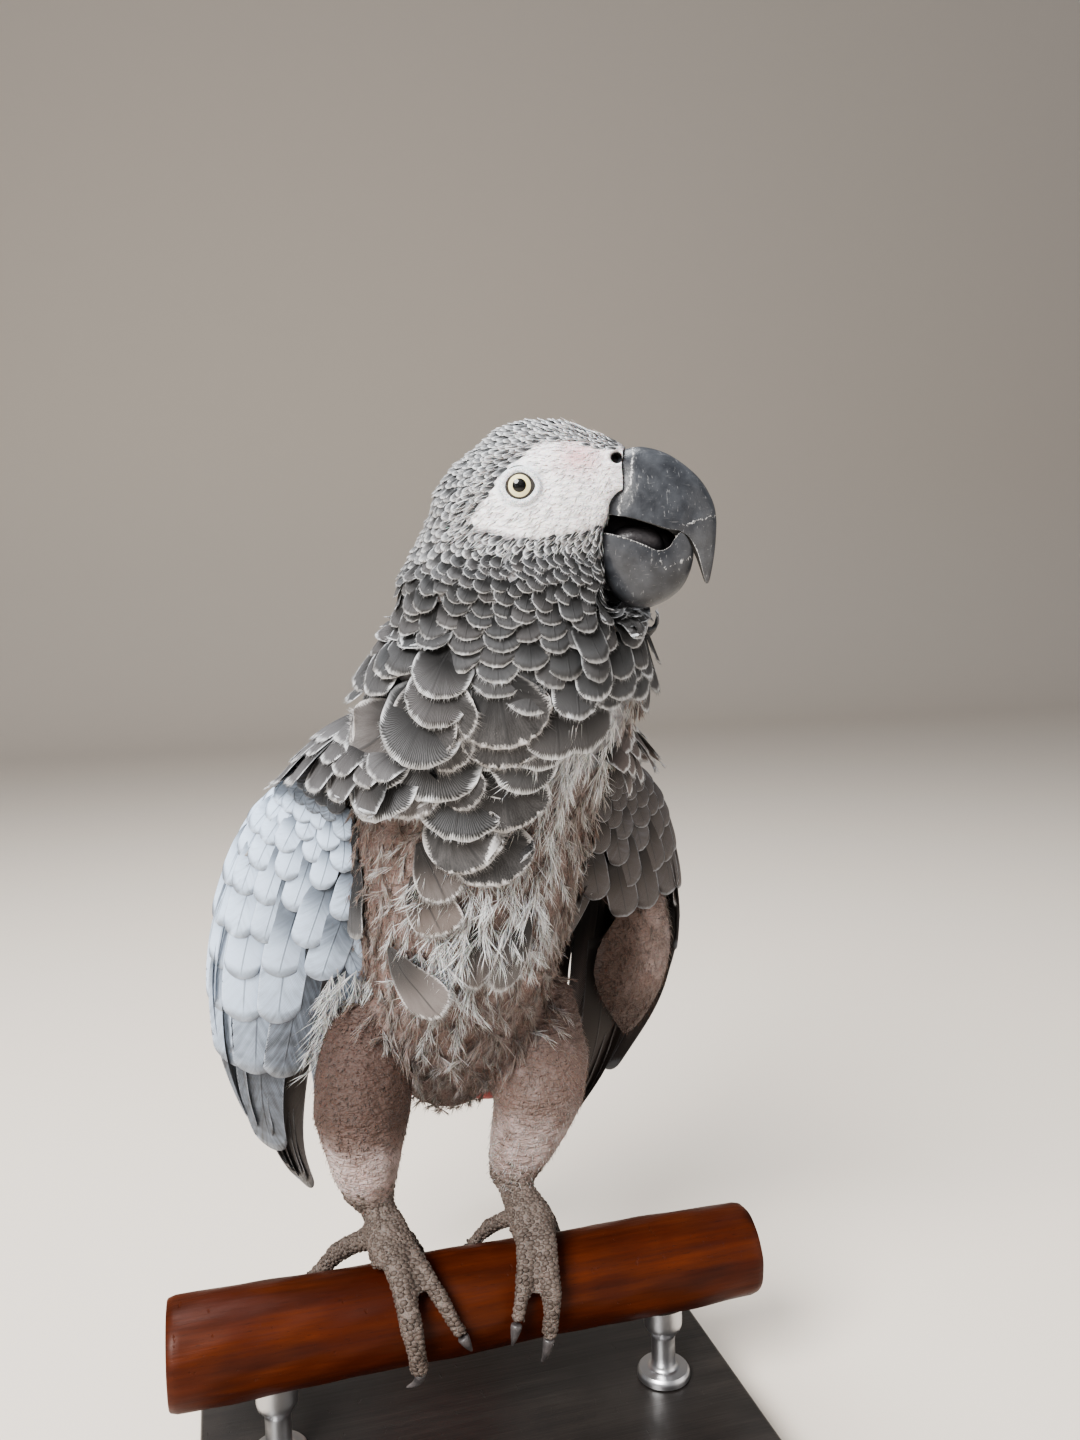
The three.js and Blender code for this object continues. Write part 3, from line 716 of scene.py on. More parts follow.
@dataclass
class HeadFrame:
    """The head's frame: forward along the beak, left and up, from a point at eye level between the eyes."""

    pitch: float = 2.0
    eye_forward: float = 2.5
    eye_up: float = -0.5
    nose: tuple = (26.8, 9.6, 6.4)
    origin: Array = field(init=False)
    axes: Array = field(init=False)
    eye_out: float = field(init=False)

    def __post_init__(self) -> None:
        """Works the frame out from the two eyes."""
        left, right = (np.array(sum(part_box(name), Vector())) / 2 / MM for name in ("eye_left", "eye_right"))
        across = unit(left - right)
        level = np.cross(across, (0.0, 0.0, 1.0))
        tilt = math.radians(self.pitch)
        forward = level * math.cos(tilt) + np.array((0.0, 0.0, 1.0)) * math.sin(tilt)
        above = np.cross(forward, across)
        self.axes = np.stack([forward, across, above])
        self.origin = (left + right) / 2 - forward * self.eye_forward - above * self.eye_up
        self.eye_out = float(np.linalg.norm(left - right)) / 2

    def out(self, points: Sequence) -> Array:
        """Points of the head's frame in the row frame."""
        return np.asarray(points, float) @ self.axes + self.origin

    def into(self, points: Array) -> Array:
        """Points of the row frame in the head's frame."""
        return (np.asarray(points, float) - self.origin) @ self.axes.T

    def eye(self, sign: int) -> Array:
        """The middle of an eyeball in the head's frame, with sign 1 for the left one."""
        return np.array((self.eye_forward, sign * self.eye_out, self.eye_up))

    def nostril(self, sign: int) -> Array:
        """The middle of a nostril in the head's frame, with sign 1 for the left one."""
        return np.array(self.nose) * (1, sign, 1)


@dataclass
class Spine:
    """The line up the middle of the trunk and neck, for places along and round the body."""

    bird: BirdFrame
    knots: tuple = (
        (0, 84, 42), (0, 64, 56), (0, 30, 92), (0, -6, 147),
        (4, -31, 188), (7, -47, 219), (4, -53, 246), (5, -54, 262),
    )
    steps: int = 120

    def __post_init__(self) -> None:
        """Samples the line and its directions."""
        self.line = self.bird.out(curve_through(self.knots, np.linspace(0, 1, self.steps)))
        self.along = unit(np.gradient(self.line, axis=0))
        self.run = np.concatenate([[0], np.cumsum(np.linalg.norm(np.diff(self.line, axis=0), axis=1))])
        self.side = unit(np.array((1.0, 0, 0)) - dot(self.along, np.array((1.0, 0, 0))) * self.along)
        self.back = np.cross(self.along, self.side)

    def locate(self, points: Array) -> tuple[Array, Array, Array]:
        """Places of points along and round the spine.

        Args:
            points: Points of the row frame.

        Returns:
            The run up the spine in millimetres, the angle round it (0 at the breast, positive on the bird's
            left, half a turn at the back), and the spine's upward direction there.
        """
        nearest = np.argmin(((points[:, None, :] - self.line[None, :, :]) ** 2).sum(-1), axis=1)
        away = points - self.line[nearest]
        turn = np.arctan2(dot(away, self.side[nearest])[:, 0], -dot(away, self.back[nearest])[:, 0])
        return self.run[nearest], turn, self.along[nearest]


# ---------------------------------------------------------------- forms turned from a sphere


def ball(around: int, rings: int) -> tuple[Piece, Array, Array]:
    """A sphere, with the shares along and round (0 to 1) of its points."""
    deselect()
    bpy.ops.mesh.primitive_uv_sphere_add(segments=around, ring_count=rings, radius=1.0)
    piece = bpy.context.object
    at = points_of(piece) * MM
    along = 0.5 - np.arcsin(np.clip(at[:, 2], -1, 1)) / math.pi
    return piece, along, np.arctan2(at[:, 1], at[:, 0]) / TURN % 1.0


def ball_form(name: str, around: int, rings: int, place: Callable[[Array, Array], Array]) -> Piece:
    """A closed form shaped from a sphere.

    Args:
        name: The piece's name.
        around: Points round the form.
        rings: Points along it.
        place: Gives points in the row frame for shares along (0 to 1) and round (0 to 1).

    Returns:
        The piece, facing outwards.
    """
    piece, along, turn = ball(around, rings)
    piece.name = piece.data.name = name
    place_points(piece, place(along, turn))
    bpy.ops.object.mode_set(mode="EDIT")
    bpy.ops.mesh.select_all(action="SELECT")
    bpy.ops.mesh.normals_make_consistent(inside=False)
    bpy.ops.object.mode_set(mode="OBJECT")
    shade_smooth(piece)
    return piece


def ball_shares(around: int, rings: int) -> tuple[Array, Array]:
    """Shares along and round for the points of a ball form, in the order of its points."""
    probe, along, turn = ball(around, rings)
    bpy.data.objects.remove(probe)
    return along, turn


def welded_copy(name: str, new_name: str) -> Piece:
    """A welded copy of a solid, free of its parent, properties and materials."""
    copy = bpy.data.objects[name].copy()
    copy.data = copy.data.copy()
    copy.parent = None
    copy.name = copy.data.name = new_name
    for key in list(copy.keys()):
        del copy[key]
    bpy.context.scene.collection.objects.link(copy)
    copy.data.materials.clear()
    apply_modifier(copy, "WELD", merge_threshold=WELD)
    return copy


# ---------------------------------------------------------------- the skin


FLESH = ("head", "neck", "trunk", "thigh_left", "thigh_right", "foot_left", "foot_right")
HEAD, NECK, TRUNK, THIGHS, LEGS, WINGS = 0, 1, 2, (3, 4), (3, 4, 5, 6), 7
FACE_OUTLINE = (
    (-11.4, -8.5), (-8.9, -6.0), (-5.4, -1.4), (-0.2, 5.4), (8.6, 10.8), (17.0, 10.9), (23.0, 9.4),
    (27.5, 9.0), (35.0, 9.5), (36.0, 0.0), (34.0, -9.5), (22.3, -10.4), (15.9, -12.2), (6.9, -13.4),
    (-0.6, -12.9), (-6.9, -10.5),
)


def on_lobe(low: Array) -> Array:
    """Whether points of the bird's frame lie by the bare lobe of the left arm."""
    return (low[:, 0] > 50) & (low[:, 2] < 128)


@dataclass
class WingForm:
    """The folded wing's outer face, as three guide lines from the wrist to the tip, for the left wing."""

    bird: BirdFrame
    sign: int
    shift: float = 2.0
    leading: tuple = (
        (38, -14, 164), (30, -9, 140), (33, 6, 114), (38, 22, 86), (46, 46, 54), (50, 74, 22), (46, 98, -8)
    )
    bulge: tuple = (
        (49, 0, 175), (66.5, 10, 154.5), (76, 22, 120), (76.5, 38, 88),
        (71, 62, 54), (61, 86, 23), (47, 104, -5),
    )
    trailing: tuple = (
        (20, 8, 182), (21, 26, 159), (22, 44, 131), (24, 64, 98), (30, 86, 58), (34, 101, 25), (39, 112, 0)
    )

    def face(self, u: Array, v: Array, inset: float = 0.0) -> Array:
        """Points of the outer face: u from wrist to tip, v from the leading to the trailing edge.

        Below u = 0 the face runs on over the shoulder. An inset of 1 draws the face in to its core line.
        """
        u = np.asarray(u, float)
        over = np.minimum(u, 0)[..., None] * (len(self.leading) - 1)
        guides = []
        for knots in (self.leading, self.bulge, self.trailing):
            first = np.subtract(knots[1], knots[0]).astype(float)
            guides.append(curve_through(knots, u) + first * over)
        core = 0.25 * (guides[0] + guides[2]) + 0.5 * guides[1]
        lead, middle, trail = (guide + (core - guide) * inset for guide in guides)
        handle = 2 * middle - 0.5 * (lead + trail)
        v = np.asarray(v, float)[..., None]
        left = lead * (1 - v) ** 2 + handle * (2 * v * (1 - v)) + trail * v**2
        return self.bird.out(left * (self.sign, 1, 1) + (self.shift, 0, 0))

    def outward(self, u: Array, v: Array, inset: float = 0.0) -> Array:
        """The face's outward normals."""
        step = 0.01
        along = self.face(np.minimum(u + step, 1), v, inset) - self.face(u - step, v, inset)
        across = self.face(u, v + step, inset) - self.face(u, v - step, inset)
        return unit(np.cross(along, across)) * self.sign

    def lifted(self, u: Array, v: Array, lift: Array, inset: float = 0.0) -> Array:
        """Points of the outer face, lifted off it."""
        return self.face(u, v, inset) + self.outward(u, v, inset) * np.asarray(lift, float)[..., None]


@dataclass
class Skin:
    """The bird's one skin: the solids of flesh joined, smoothed, drawn in under the coat, and detailed."""

    bird: BirdFrame
    head: HeadFrame
    spine: Spine
    wings: dict[int, WingForm]
    voxel: float = 1.24
    overlap: float = 0.35
    arm_end: float = 0.43
    arm_depth: float = 10.0
    lid_angle: float = 35.5
    lid_width: float = 15.0
    ankle: float = 36.0

    def copies(self) -> list[Piece]:
        """Welded copies of the solids of flesh, grown a little so that they overlap."""
        made = []
        for name in (*FLESH, "eye_left", "eye_right"):
            copy = welded_copy(name, f"flesh_{name}")
            if not name.startswith("eye"):
                apply_modifier(copy, "DISPLACE", strength=self.overlap * MM, mid_level=0.0)
            made.append(copy)
        return made

    def arm(self, sign: int) -> Piece:
        """The fleshy arm under one wing's coverts."""
        wing = self.wings[sign]

        def place(along: Array, turn: Array) -> Array:
            """Bulges towards the body, most near the shoulder."""
            u = along * self.arm_end
            angle = turn * TURN
            v = 0.5 + 0.46 * np.cos(angle)
            round_end = np.sqrt(np.clip(np.sin(along * math.pi), 0, 1))
            inner = np.clip(-np.sin(angle), 0, None) ** 0.7
            depth = -inner * self.arm_depth * round_end * (1.7 - 1.1 * along)
            v = 0.5 + (v - 0.5) * round_end
            return wing.lifted(u, v, depth + 0.6 * round_end)

        return ball_form(f"arm_{sign}", 24, 20, place)

    def lump(self, name: str, middle: Sequence[float], size: Sequence[float]) -> Piece:
        """A rounded lump of flesh at a point of the bird's frame."""

        def place(along: Array, turn: Array) -> Array:
            """An ellipsoid."""
            angle, polar = turn * TURN, along * math.pi
            way = np.stack([np.sin(polar) * np.cos(angle), np.sin(polar) * np.sin(angle), np.cos(polar)], 1)
            return self.bird.out(np.array(middle) + way * size)

        return ball_form(name, 24, 20, place)

    def bare_lobe(self) -> Piece:
        """The bare lower edge of the left arm, where its coverts are gone."""
        wing = self.wings[1]

        def place(along: Array, turn: Array) -> Array:
            """A flat lens that runs down the arm's edge."""
            angle = turn * TURN
            full = np.sqrt(np.clip(np.sin(along * math.pi), 0, 1))
            u = 0.27 + 0.37 * along
            v = 0.22 + 0.05 * along + 0.20 * np.cos(angle) * full
            return wing.lifted(u, v, np.where(np.sin(angle) > 0, 6.5, 7.0) * np.sin(angle) * full - 1.0)

        return ball_form("bare_lobe", 24, 20, place)

    def build(self) -> Piece:
        """Makes the skin, and keeps its region of each point for the coat.

        Returns:
            The skin piece.
        """
        lumps = [self.lump(f"shoulder_{s}", (s * 30 + 2, -3, 165), (15, 14, 14)) for s in (1, -1)]
        pieces = [*self.copies(), self.arm(1), self.arm(-1), *lumps, self.bare_lobe()]
        deselect()
        for piece in pieces:
            piece.select_set(True)
        bpy.context.view_layer.objects.active = pieces[0]
        bpy.ops.object.join()
        skin = bpy.context.object
        skin.name = skin.data.name = "skin"
        for layer in list(skin.data.uv_layers):
            skin.data.uv_layers.remove(layer)
        apply_modifier(skin, "REMESH", mode="VOXEL", voxel_size=self.voxel * MM)
        self.keep_largest(skin)
        points = points_of(skin)
        soft = skin.vertex_groups.new(name="soft")
        low = self.bird.into(points)[:, 2]
        full, feet = 1.0, 0.25
        weights = np.where(low > self.ankle, full, feet)
        for weight in (full, feet):
            chosen = np.nonzero(weights == weight)[0]
            soft.add([int(i) for i in chosen], weight, "REPLACE")
        apply_modifier(skin, "SMOOTH", factor=0.5, iterations=14, vertex_group="soft")
        self.label()
        self.draw_in(skin)
        self.refine(skin)
        self.sculpt_head(skin)
        skin.vertex_groups.clear()
        self.paint_zones(skin)
        shade_smooth(skin)
        return skin

    @staticmethod
    def keep_largest(skin: Piece) -> None:
        """Deletes shells that the remesh leaves inside the skin or apart from it."""
        mesh = skin.data
        edges = read(mesh.edges, "vertices", 2, np.int64)
        label = np.arange(len(mesh.vertices))
        while True:
            low = np.minimum(label[edges[:, 0]], label[edges[:, 1]])
            before = label.copy()
            np.minimum.at(label, edges[:, 0], low)
            np.minimum.at(label, edges[:, 1], low)
            label = label[label]
            if np.array_equal(before, label):
                break
        main = np.bincount(label).argmax()
        stray = label != main
        if stray.any():
            edit(skin, "VERT", stray, bpy.ops.mesh.delete, type="VERT")

    def label(self) -> None:
        """Joins the solids' faces, with their numbers, to tell which part of the body a point belongs to."""
        corners, faces, owners = [], [], []
        start = 0
        for number, name in enumerate((*FLESH, "wing_left_coverts", "wing_right_coverts")):
            mesh = bpy.data.objects[name].data
            corners += [tuple(v.co / MM) for v in mesh.vertices]
            faces += [[start + i for i in p.vertices] for p in mesh.polygons]
            owners += [number] * len(mesh.polygons)
            start += len(mesh.vertices)
        self.tree_owner = (BVHTree.FromPolygons(corners, faces), np.array(owners))

    def owners(self, points: Array) -> Array:
        """The number in FLESH of the solid nearest to each point, and 7 or 8 for a wing."""
        tree, owners = self.tree_owner
        return owners[[tree.find_nearest(p)[2] for p in points.tolist()]]

    def coat_depth(self, points: Array, owner: Array) -> Array:
        """How far the skin lies under the coat's surface."""
        depth = np.choose(owner, (1.0, 2.6, 3.0, 0.7, 0.7, 0.7, 0.7, 1.6, 1.6))
        at = self.head.into(points)
        bare = self.face_mask(at) * (owner == HEAD)
        depth = depth * (1 - bare) + 0.35 * bare
        front = smooth_step(20, 26, at[:, 0]) * (owner == HEAD)
        return depth * (1 - front) + 0.35 * front

    def draw_in(self, skin: Piece) -> None:
        """Moves the skin inwards by the coat's depth, with soft changes between regions."""
        points = points_of(skin)
        a, b = read(skin.data.edges, "vertices", 2, np.int64).T
        depth = self.coat_depth(points, self.owners(points)) + self.overlap
        count = np.bincount(np.concatenate([a, b]), minlength=len(points))
        for _ in range(12):
            total = np.bincount(a, depth[b], len(points)) + np.bincount(b, depth[a], len(points))
            depth = 0.4 * depth + 0.6 * total / np.maximum(count, 1)
        place_points(skin, points - read(skin.data.vertices, "normal", 3) * depth[:, None])
        apply_modifier(skin, "SMOOTH", factor=0.5, iterations=5, vertex_group="soft")

    def refine(self, skin: Piece) -> None:
        """Divides the faces round the eyes and the cere, for folds finer than the rest of the skin needs."""
        for reach_eye, reach_nose in ((11.0, 7.0), (9.0, 4.2)):
            at = self.head.into(points_of(skin))
            near = np.zeros(len(at), bool)
            for sign in (1, -1):
                near |= np.linalg.norm(at - self.head.eye(sign), axis=1) < reach_eye
                near |= np.linalg.norm(at - self.head.nostril(sign), axis=1) < reach_nose
            edit(skin, "VERT", near, bpy.ops.mesh.subdivide, number_cuts=1, smoothness=0.4)

    def sculpt_head(self, skin: Piece) -> None:
        """Shapes the lids, the eye openings, the nostrils and the rim of the cere."""
        at = self.head.into(points_of(skin))
        for sign in (1, -1):
            middle = self.head.eye(sign)
            away = at - middle
            reach = np.linalg.norm(away, axis=1)
            ahead = unit(away)
            flat = np.hypot(ahead[:, 0] / 1.06, ahead[:, 2] / 0.95)
            angle = np.degrees(np.arctan2(flat, np.maximum(ahead[:, 1] * sign, 1e-6)))
            round_eye = np.arctan2(ahead[:, 2] + 0.04, ahead[:, 0])
            corners = 0.11 * bump(round_eye, 0, 0.38) + 0.04 * bump(np.abs(round_eye), 3.1, 0.4)
            angle = angle / (1 + corners)
            angle = np.where(ahead[:, 1] * sign <= 0, 180.0, angle)
            near = (reach < 16) & (angle < 80)
            rise = smooth_step(self.lid_angle - 4, self.lid_angle + 1.5, angle)
            ring = bump(angle, self.lid_angle + 5.5, 4.5)
            folds = 0.16 * np.sin(np.clip(angle - self.lid_angle - 9, 0, 22) * 0.62)
            lid = 5.1 + rise * 1.25 + ring * 0.5 + folds * rise
            lid += 0.035 * np.clip(angle - self.lid_angle - 6, 0, 60)
            outside = self.lid_angle + self.lid_width
            share = smooth_step(outside + 16, outside - 7, angle)
            target = lid * share + reach * (1 - share)
            at[near] = (middle + ahead * target[:, None])[near]
            off = at - self.head.nostril(sign)
            spread = np.hypot(off[:, 0], off[:, 2])
            local = (np.abs(off[:, 1]) < 5) & (spread < 5)
            hole = smooth_step(1.8, 1.0, spread) * 3.0
            rim = bump(spread, 2.3, 0.7) * 0.35
            at[local, 1] -= (sign * (hole - rim))[local]
        place_points(skin, self.head.out(at))

    @staticmethod
    def face_depth(at: Array) -> Array:
        """How far points of the head's frame lie inside the bare white face, negative outside it."""
        outline = curve_through(FACE_OUTLINE + FACE_OUTLINE[:1], np.linspace(0, 1, 61)[:-1])
        ripple = 0.35 * np.sin(at[:, 0] * 2.1 + at[:, 2] * 1.3) + 0.25 * np.sin(at[:, 2] * 3.7 - at[:, 0])
        return inside_by(outline, at[:, (0, 2)]) + ripple

    def face_mask(self, at: Array) -> Array:
        """How far points of the head's frame lie in the bare white face and cere, from 0 to 1."""
        return smooth_step(-0.9, 1.1, self.face_depth(at))

    def paint_zones(self, skin: Piece) -> None:
        """Stores which parts are feathered, white, horny or inside the mouth, their blush and paleness, and
        painted shade and light.
        """
        points = points_of(skin)
        owner = self.owners(points)
        at = self.head.into(points)
        forward, out, up = at.T
        low = self.bird.into(points)
        run, turn, _ = self.spine.locate(points)
        face = self.face_mask(at) * (owner == HEAD)
        inside = (np.abs(out) < 8.6) & (forward > 21.6) & (up < -4.2) & (up > -26)
        # The mouth's inside and the nostril holes are marked for near black: partly dark flesh, partly
        # painted shade.
        mouth = np.where(inside & (owner <= NECK), 1.0, 0.0)
        off = np.hypot(forward - self.head.nose[0], up - self.head.nose[2])
        mouth = np.maximum(mouth, smooth_step(1.75, 1.35, off) * (np.abs(out) > 3))
        front = smooth_step(2.15, 1.7, np.abs(turn))
        plucked = smooth_step(205, 165, run) * front * (owner == TRUNK)
        plucked = np.where(owner >= WINGS, smooth_step(14, 4, low[:, 1]), plucked)
        lobe = on_lobe(low) & (owner >= WINGS)
        plucked = np.where(lobe, 1.0, plucked)
        coat = ~np.isin(owner, LEGS) * (1 - face) * (1 - plucked)
        foot = np.isin(owner, LEGS) * smooth_step(44, 31, low[:, 2] + 1.5 * np.sin(points[:, 0] * 1.3))
        blush = bump(forward, 17.5, 5.5) * bump(up, 6.5, 4.5)
        shin = np.isin(owner, LEGS) * smooth_step(66, 46, low[:, 2])
        outer = smooth_step(-20, -34, low[:, 0])
        pale = shin * np.where(low[:, 0] < 0, 0.12 + 0.55 * outer, 0.4)
        lid = np.zeros(len(points))
        for sign in (1, -1):
            away = at - self.head.eye(sign)
            spread = np.hypot(away[:, 0], away[:, 2])
            lid = np.maximum(lid, smooth_step(6.4, 4.6, spread) * (away[:, 1] * sign > 0))
        # Painted shade: the flanks, the arms' skin, the lobe's inner side and the tops of the thighs are
        # darkened; painted light makes the lobe's upper outer part paler.
        painted_shade = smooth_step(0.7, 1.3, np.abs(turn)) * plucked * smooth_step(40, 80, run) * 0.6
        sunlit = smooth_step(56, 70, low[:, 0]) * smooth_step(66, 100, low[:, 2])
        painted_shade = np.where(owner >= WINGS, 0.9, painted_shade) * np.where(lobe, 1 - 0.8 * sunlit, 1.0)
        pale = np.where(lobe, 0.3 * sunlit, pale)
        thigh = np.isin(owner, THIGHS) * smooth_step(46, 66, low[:, 2])
        painted_shade = np.maximum(painted_shade, thigh * np.where(low[:, 0] < 0, 0.9, 0.45))
        paint(skin, "zones", np.stack([coat, face, foot, mouth], 1))
        paint(skin, "flush_and_painted_shading", np.stack([blush, pale, lid, painted_shade], 1))
        self.piece = skin
        faces = [tuple(p.vertices) for p in skin.data.polygons]
        self.tree = BVHTree.FromPolygons(points.tolist(), faces)


# ---------------------------------------------------------------- the coat's ways of making


class Template:
    """The points and faces of one closed vane, as shares along and across, for many feathers at once."""

    def __init__(self, rows: int, columns: int) -> None:
        """Lays out the vane's upper grid and the ridge of its underside."""
        places = np.sin(np.linspace(-math.pi / 2, math.pi / 2, columns + 1))
        along, across = np.meshgrid(np.linspace(0, 1, rows + 1), places, indexing="ij")
        self.row = np.repeat(np.arange(rows + 1), columns + 1)
        self.row = np.concatenate([self.row, np.arange(rows + 1)])
        self.along = np.concatenate([along.ravel(), np.linspace(0, 1, rows + 1)])
        self.across = np.concatenate([across.ravel(), np.zeros(rows + 1)])
        self.under = np.concatenate([np.zeros(along.size), np.ones(rows + 1)])
        numbers = np.tile(np.arange(columns + 1), rows + 1)
        self.column = np.concatenate([numbers, np.full(rows + 1, columns // 2)])
        self.rows, self.columns = rows, columns
        wide, ridge = columns + 1, along.size
        quads, tris = [], []
        for r in range(rows):
            for c in range(columns):
                quads.append((r * wide + c, r * wide + c + 1, (r + 1) * wide + c + 1, (r + 1) * wide + c))
            quads.append((r * wide, (r + 1) * wide, ridge + r + 1, ridge + r))
            quads.append((r * wide + columns, ridge + r, ridge + r + 1, (r + 1) * wide + columns))
        for c in range(columns):
            tris.append((c + 1, c, ridge))
            tris.append((rows * wide + c, rows * wide + c + 1, ridge + rows))
        self.quads, self.tris = np.array(quads), np.array(tris)


def sample(lines: Array, share: Array) -> Array:
    """Vectors at shares of each line's steps, one row of shares for each line."""
    steps = lines.shape[1] - 1
    place = np.clip(share, 0, 1) * steps
    index = np.minimum(place.astype(int), steps - 1)
    part = (place - index)[..., None]
    pick = np.arange(len(lines))[:, None]
    return lines[pick, index] * (1 - part) + lines[pick, index + 1] * part


@dataclass
class Shape:
    """How one kind of feather is formed: widths as shares of its width, the tip's depth of half of it."""

    rows: int = 5
    columns: int = 4
    root_width: float = 0.25
    widest: float = 0.6
    tip_width: float = 0.95
    tip_round: float = 0.75
    camber: float = 0.12
    thickness: float = 0.16
    fray: float = 0.03


HEAD_SCALE = Shape(3, 6, 0.5, 0.5, 1.0, 0.85, 0.26, 0.12, 0.05)
NAPE = Shape(5, 8, 0.4, 0.5, 1.0, 0.8, 0.24)
RUFF = Shape(8, 16, 0.35, 0.55, 1.0, 0.72, 0.2, 0.2, 0.02)


@dataclass
class Feathers:
    """Many feathers of one shape: their centre lines, normals and sizes."""

    line: Array
    normal: Array
    width: Array
    length: Array
    tone: Array
    spot: Array


class Coat:
    """A joined mesh of feathers, tufts or scales."""

    def __init__(self, name: str, seed: int) -> None:
        """Starts an empty coat piece."""
        self.name = name
        self.random = np.random.default_rng(SEED + seed)
        self.points: list[Array] = []
        self.faces: list[Array] = []
        self.vane: list[Array] = []
        self.tone: list[Array] = []
        self.bake: list[Array] = []
        self.count = 0

    def add(self, points: Array, faces: Sequence[Array], vane: Array, tone: Array, spot: Array) -> None:
        """Adds many copies of one layout.

        Args:
            points: Copies by points by three.
            faces: Arrays of faces of one layout, as point numbers.
            vane: Pairs from 0 to 1 for each point of the layout, across and along.
            tone: Four numbers for each copy, or for each point of each copy.
            spot: Each copy's place on the unwrapped body, from 0 to 1.
        """
        copies, each = points.shape[:2]
        start = self.count + np.arange(copies) * each
        for layout in faces:
            if len(layout):
                self.faces.append((layout[None] + start[:, None, None]).reshape(-1, layout.shape[1]))
        if tone.ndim == 2:
            tone = np.repeat(tone[:, None], each, axis=1)
        if vane.ndim == 2:
            vane = np.repeat(vane[None], copies, axis=0)
        self.points.append(points.reshape(-1, 3))
        self.vane.append(vane.reshape(-1, 2))
        self.tone.append(tone.reshape(-1, 4))
        self.bake.append((spot[:, None] + (vane - 0.5) * PATCH).reshape(-1, 2))
        self.count += copies * each

    def add_feathers(self, feathers: Feathers, shape: Shape) -> None:
        """Adds feathers that follow their centre lines."""
        t = Template(shape.rows, shape.columns)
        copies = len(feathers.line)
        grow = 1 - (1 - np.clip(t.along / shape.widest, 0, 1)) ** 2
        close = smooth_step(shape.widest, 1.0, t.along)
        profile = shape.root_width + (1 - shape.root_width) * grow
        profile = profile * (1 - close * (1 - shape.tip_width))
        half = feathers.width[:, None] / 2
        across = t.across[None] * profile[None] * half
        jag = self.random.normal(0, 1, (copies, shape.columns + 1))[:, t.column] * (t.along**3) * shape.fray
        curve = shape.tip_round * (1 - np.sqrt(np.clip(1 - t.across**2, 0, 1))) * t.along**1.5
        arch = -shape.camber * half * (np.abs(t.across) ** 1.6)[None] * np.minimum(profile, 1)[None]
        drop = np.where(t.under > 0, -shape.thickness, 0.0)[None]
        long = feathers.length[:, None]
        share = t.along[None] + half * (jag - curve[None]) / long
        normal = unit(sample(feathers.normal, share))
        ahead = unit(sample(np.gradient(feathers.line, axis=1), share))
        side = unit(np.cross(normal, ahead))
        beyond = (share - np.clip(share, 0, 1)) * long
        points = sample(feathers.line, share) + side * across[..., None]
        points = points + ahead * beyond[..., None] + normal * (arch + drop)[..., None]
        vane = np.stack([0.5 + t.across / 2, t.along], 1)
        self.add(points, (t.quads[:, ::-1], t.tris[:, ::-1]), vane, feathers.tone, feathers.spot)

    def add_rim(self, feathers: Feathers, shape: Shape, count: int, length: float, width: float) -> None:
        """Adds loose barbs round the tips of feathers."""
        copies, random = len(feathers.line), self.random
        angle = random.uniform(-1.3, 1.3, (copies, count))
        half = feathers.width[:, None] / 2 * shape.tip_width
        x = np.sin(angle)
        share = 1 - (shape.tip_round * half * (1 - np.cos(angle)) + length * 0.3) / feathers.length[:, None]
        ahead = unit(sample(np.gradient(feathers.line, axis=1), share))
        normal = unit(sample(feathers.normal, share))
        side = unit(np.cross(normal, ahead))
        arch = shape.camber * half * np.abs(x) ** 1.6 + 0.1
        root = sample(feathers.line, share) + side * (x * half * 0.94)[..., None] - normal * arch[..., None]
        way = ahead * (np.cos(angle) + 0.35)[..., None] + side * (x * 0.85)[..., None] + normal * 0.04
        way = unit(way + random.normal(0, 0.13, way.shape)).reshape(-1, 3)
        size = (random.uniform(0.6, 1.3, angle.shape) * length).ravel()
        bend = random.normal(0, 0.12, way.shape)
        tone = np.repeat(feathers.tone, count, 0)
        spot = np.repeat(feathers.spot, count, 0)
        wide = np.full(len(size), width)
        self.add_strands(root.reshape(-1, 3), way, bend, size, wide, tone, spot, 0.4, 1, True)

    def add_strands(
        self, root: Array, ahead: Array, bend: Array, length: Array, width: Array, tone: Array, spot: Array,
        flat: float = 0.35, joints: int = 3, pale: bool = False,
    ) -> None:
        """Adds thin pointed blades of three sides.

        Args:
            root: Where each blade starts.
            ahead: Its direction at the root.
            bend: How far it turns aside by its tip, as a vector.
            length: Its length.
            width: Its width at the root.
            tone: Four numbers for each blade.
            spot: Its root's place on the unwrapped body.
            flat: Its thickness, as a share of its width.
            joints: Rings of points before the tip.
            pale: Gives the blades the colour of a feather's fringe.
        """
        shares = np.arange(joints) / joints
        side = unit(np.cross(ahead, bend + (0.01, 0.02, 0.03)))
        above = np.cross(side, ahead)
        corners = np.array(((-0.5, 0.0), (0.5, 0.0), (0.0, flat)))
        rings = []
        for share in shares:
            middle = root + (ahead * share + bend * share**2) * length[:, None]
            size = (width * (1 - share * 0.55))[:, None]
            rings += [middle + (side * x + above * y) * size for x, y in corners]
        rings.append(root + (ahead + bend) * length[:, None])
        points = np.stack(rings, 1)
        quads = [
            (k * 3 + j, k * 3 + (j + 1) % 3, (k + 1) * 3 + (j + 1) % 3, (k + 1) * 3 + j)
            for k in range(joints - 1)
            for j in range(3)
        ]
        tip, last = joints * 3, (joints - 1) * 3
        tris = [(last + j, last + (j + 1) % 3, tip) for j in range(3)] + [(2, 1, 0)]
        vane = np.array([(0.5 + x * 0.9, share) for share in shares for x, _ in corners] + [(0.5, 1.0)])
        if pale:
            vane = np.full_like(vane, 0.995)
        faces = [np.array(kind) for kind in (quads, tris) if kind]
        self.add(points, faces, vane, tone, spot)

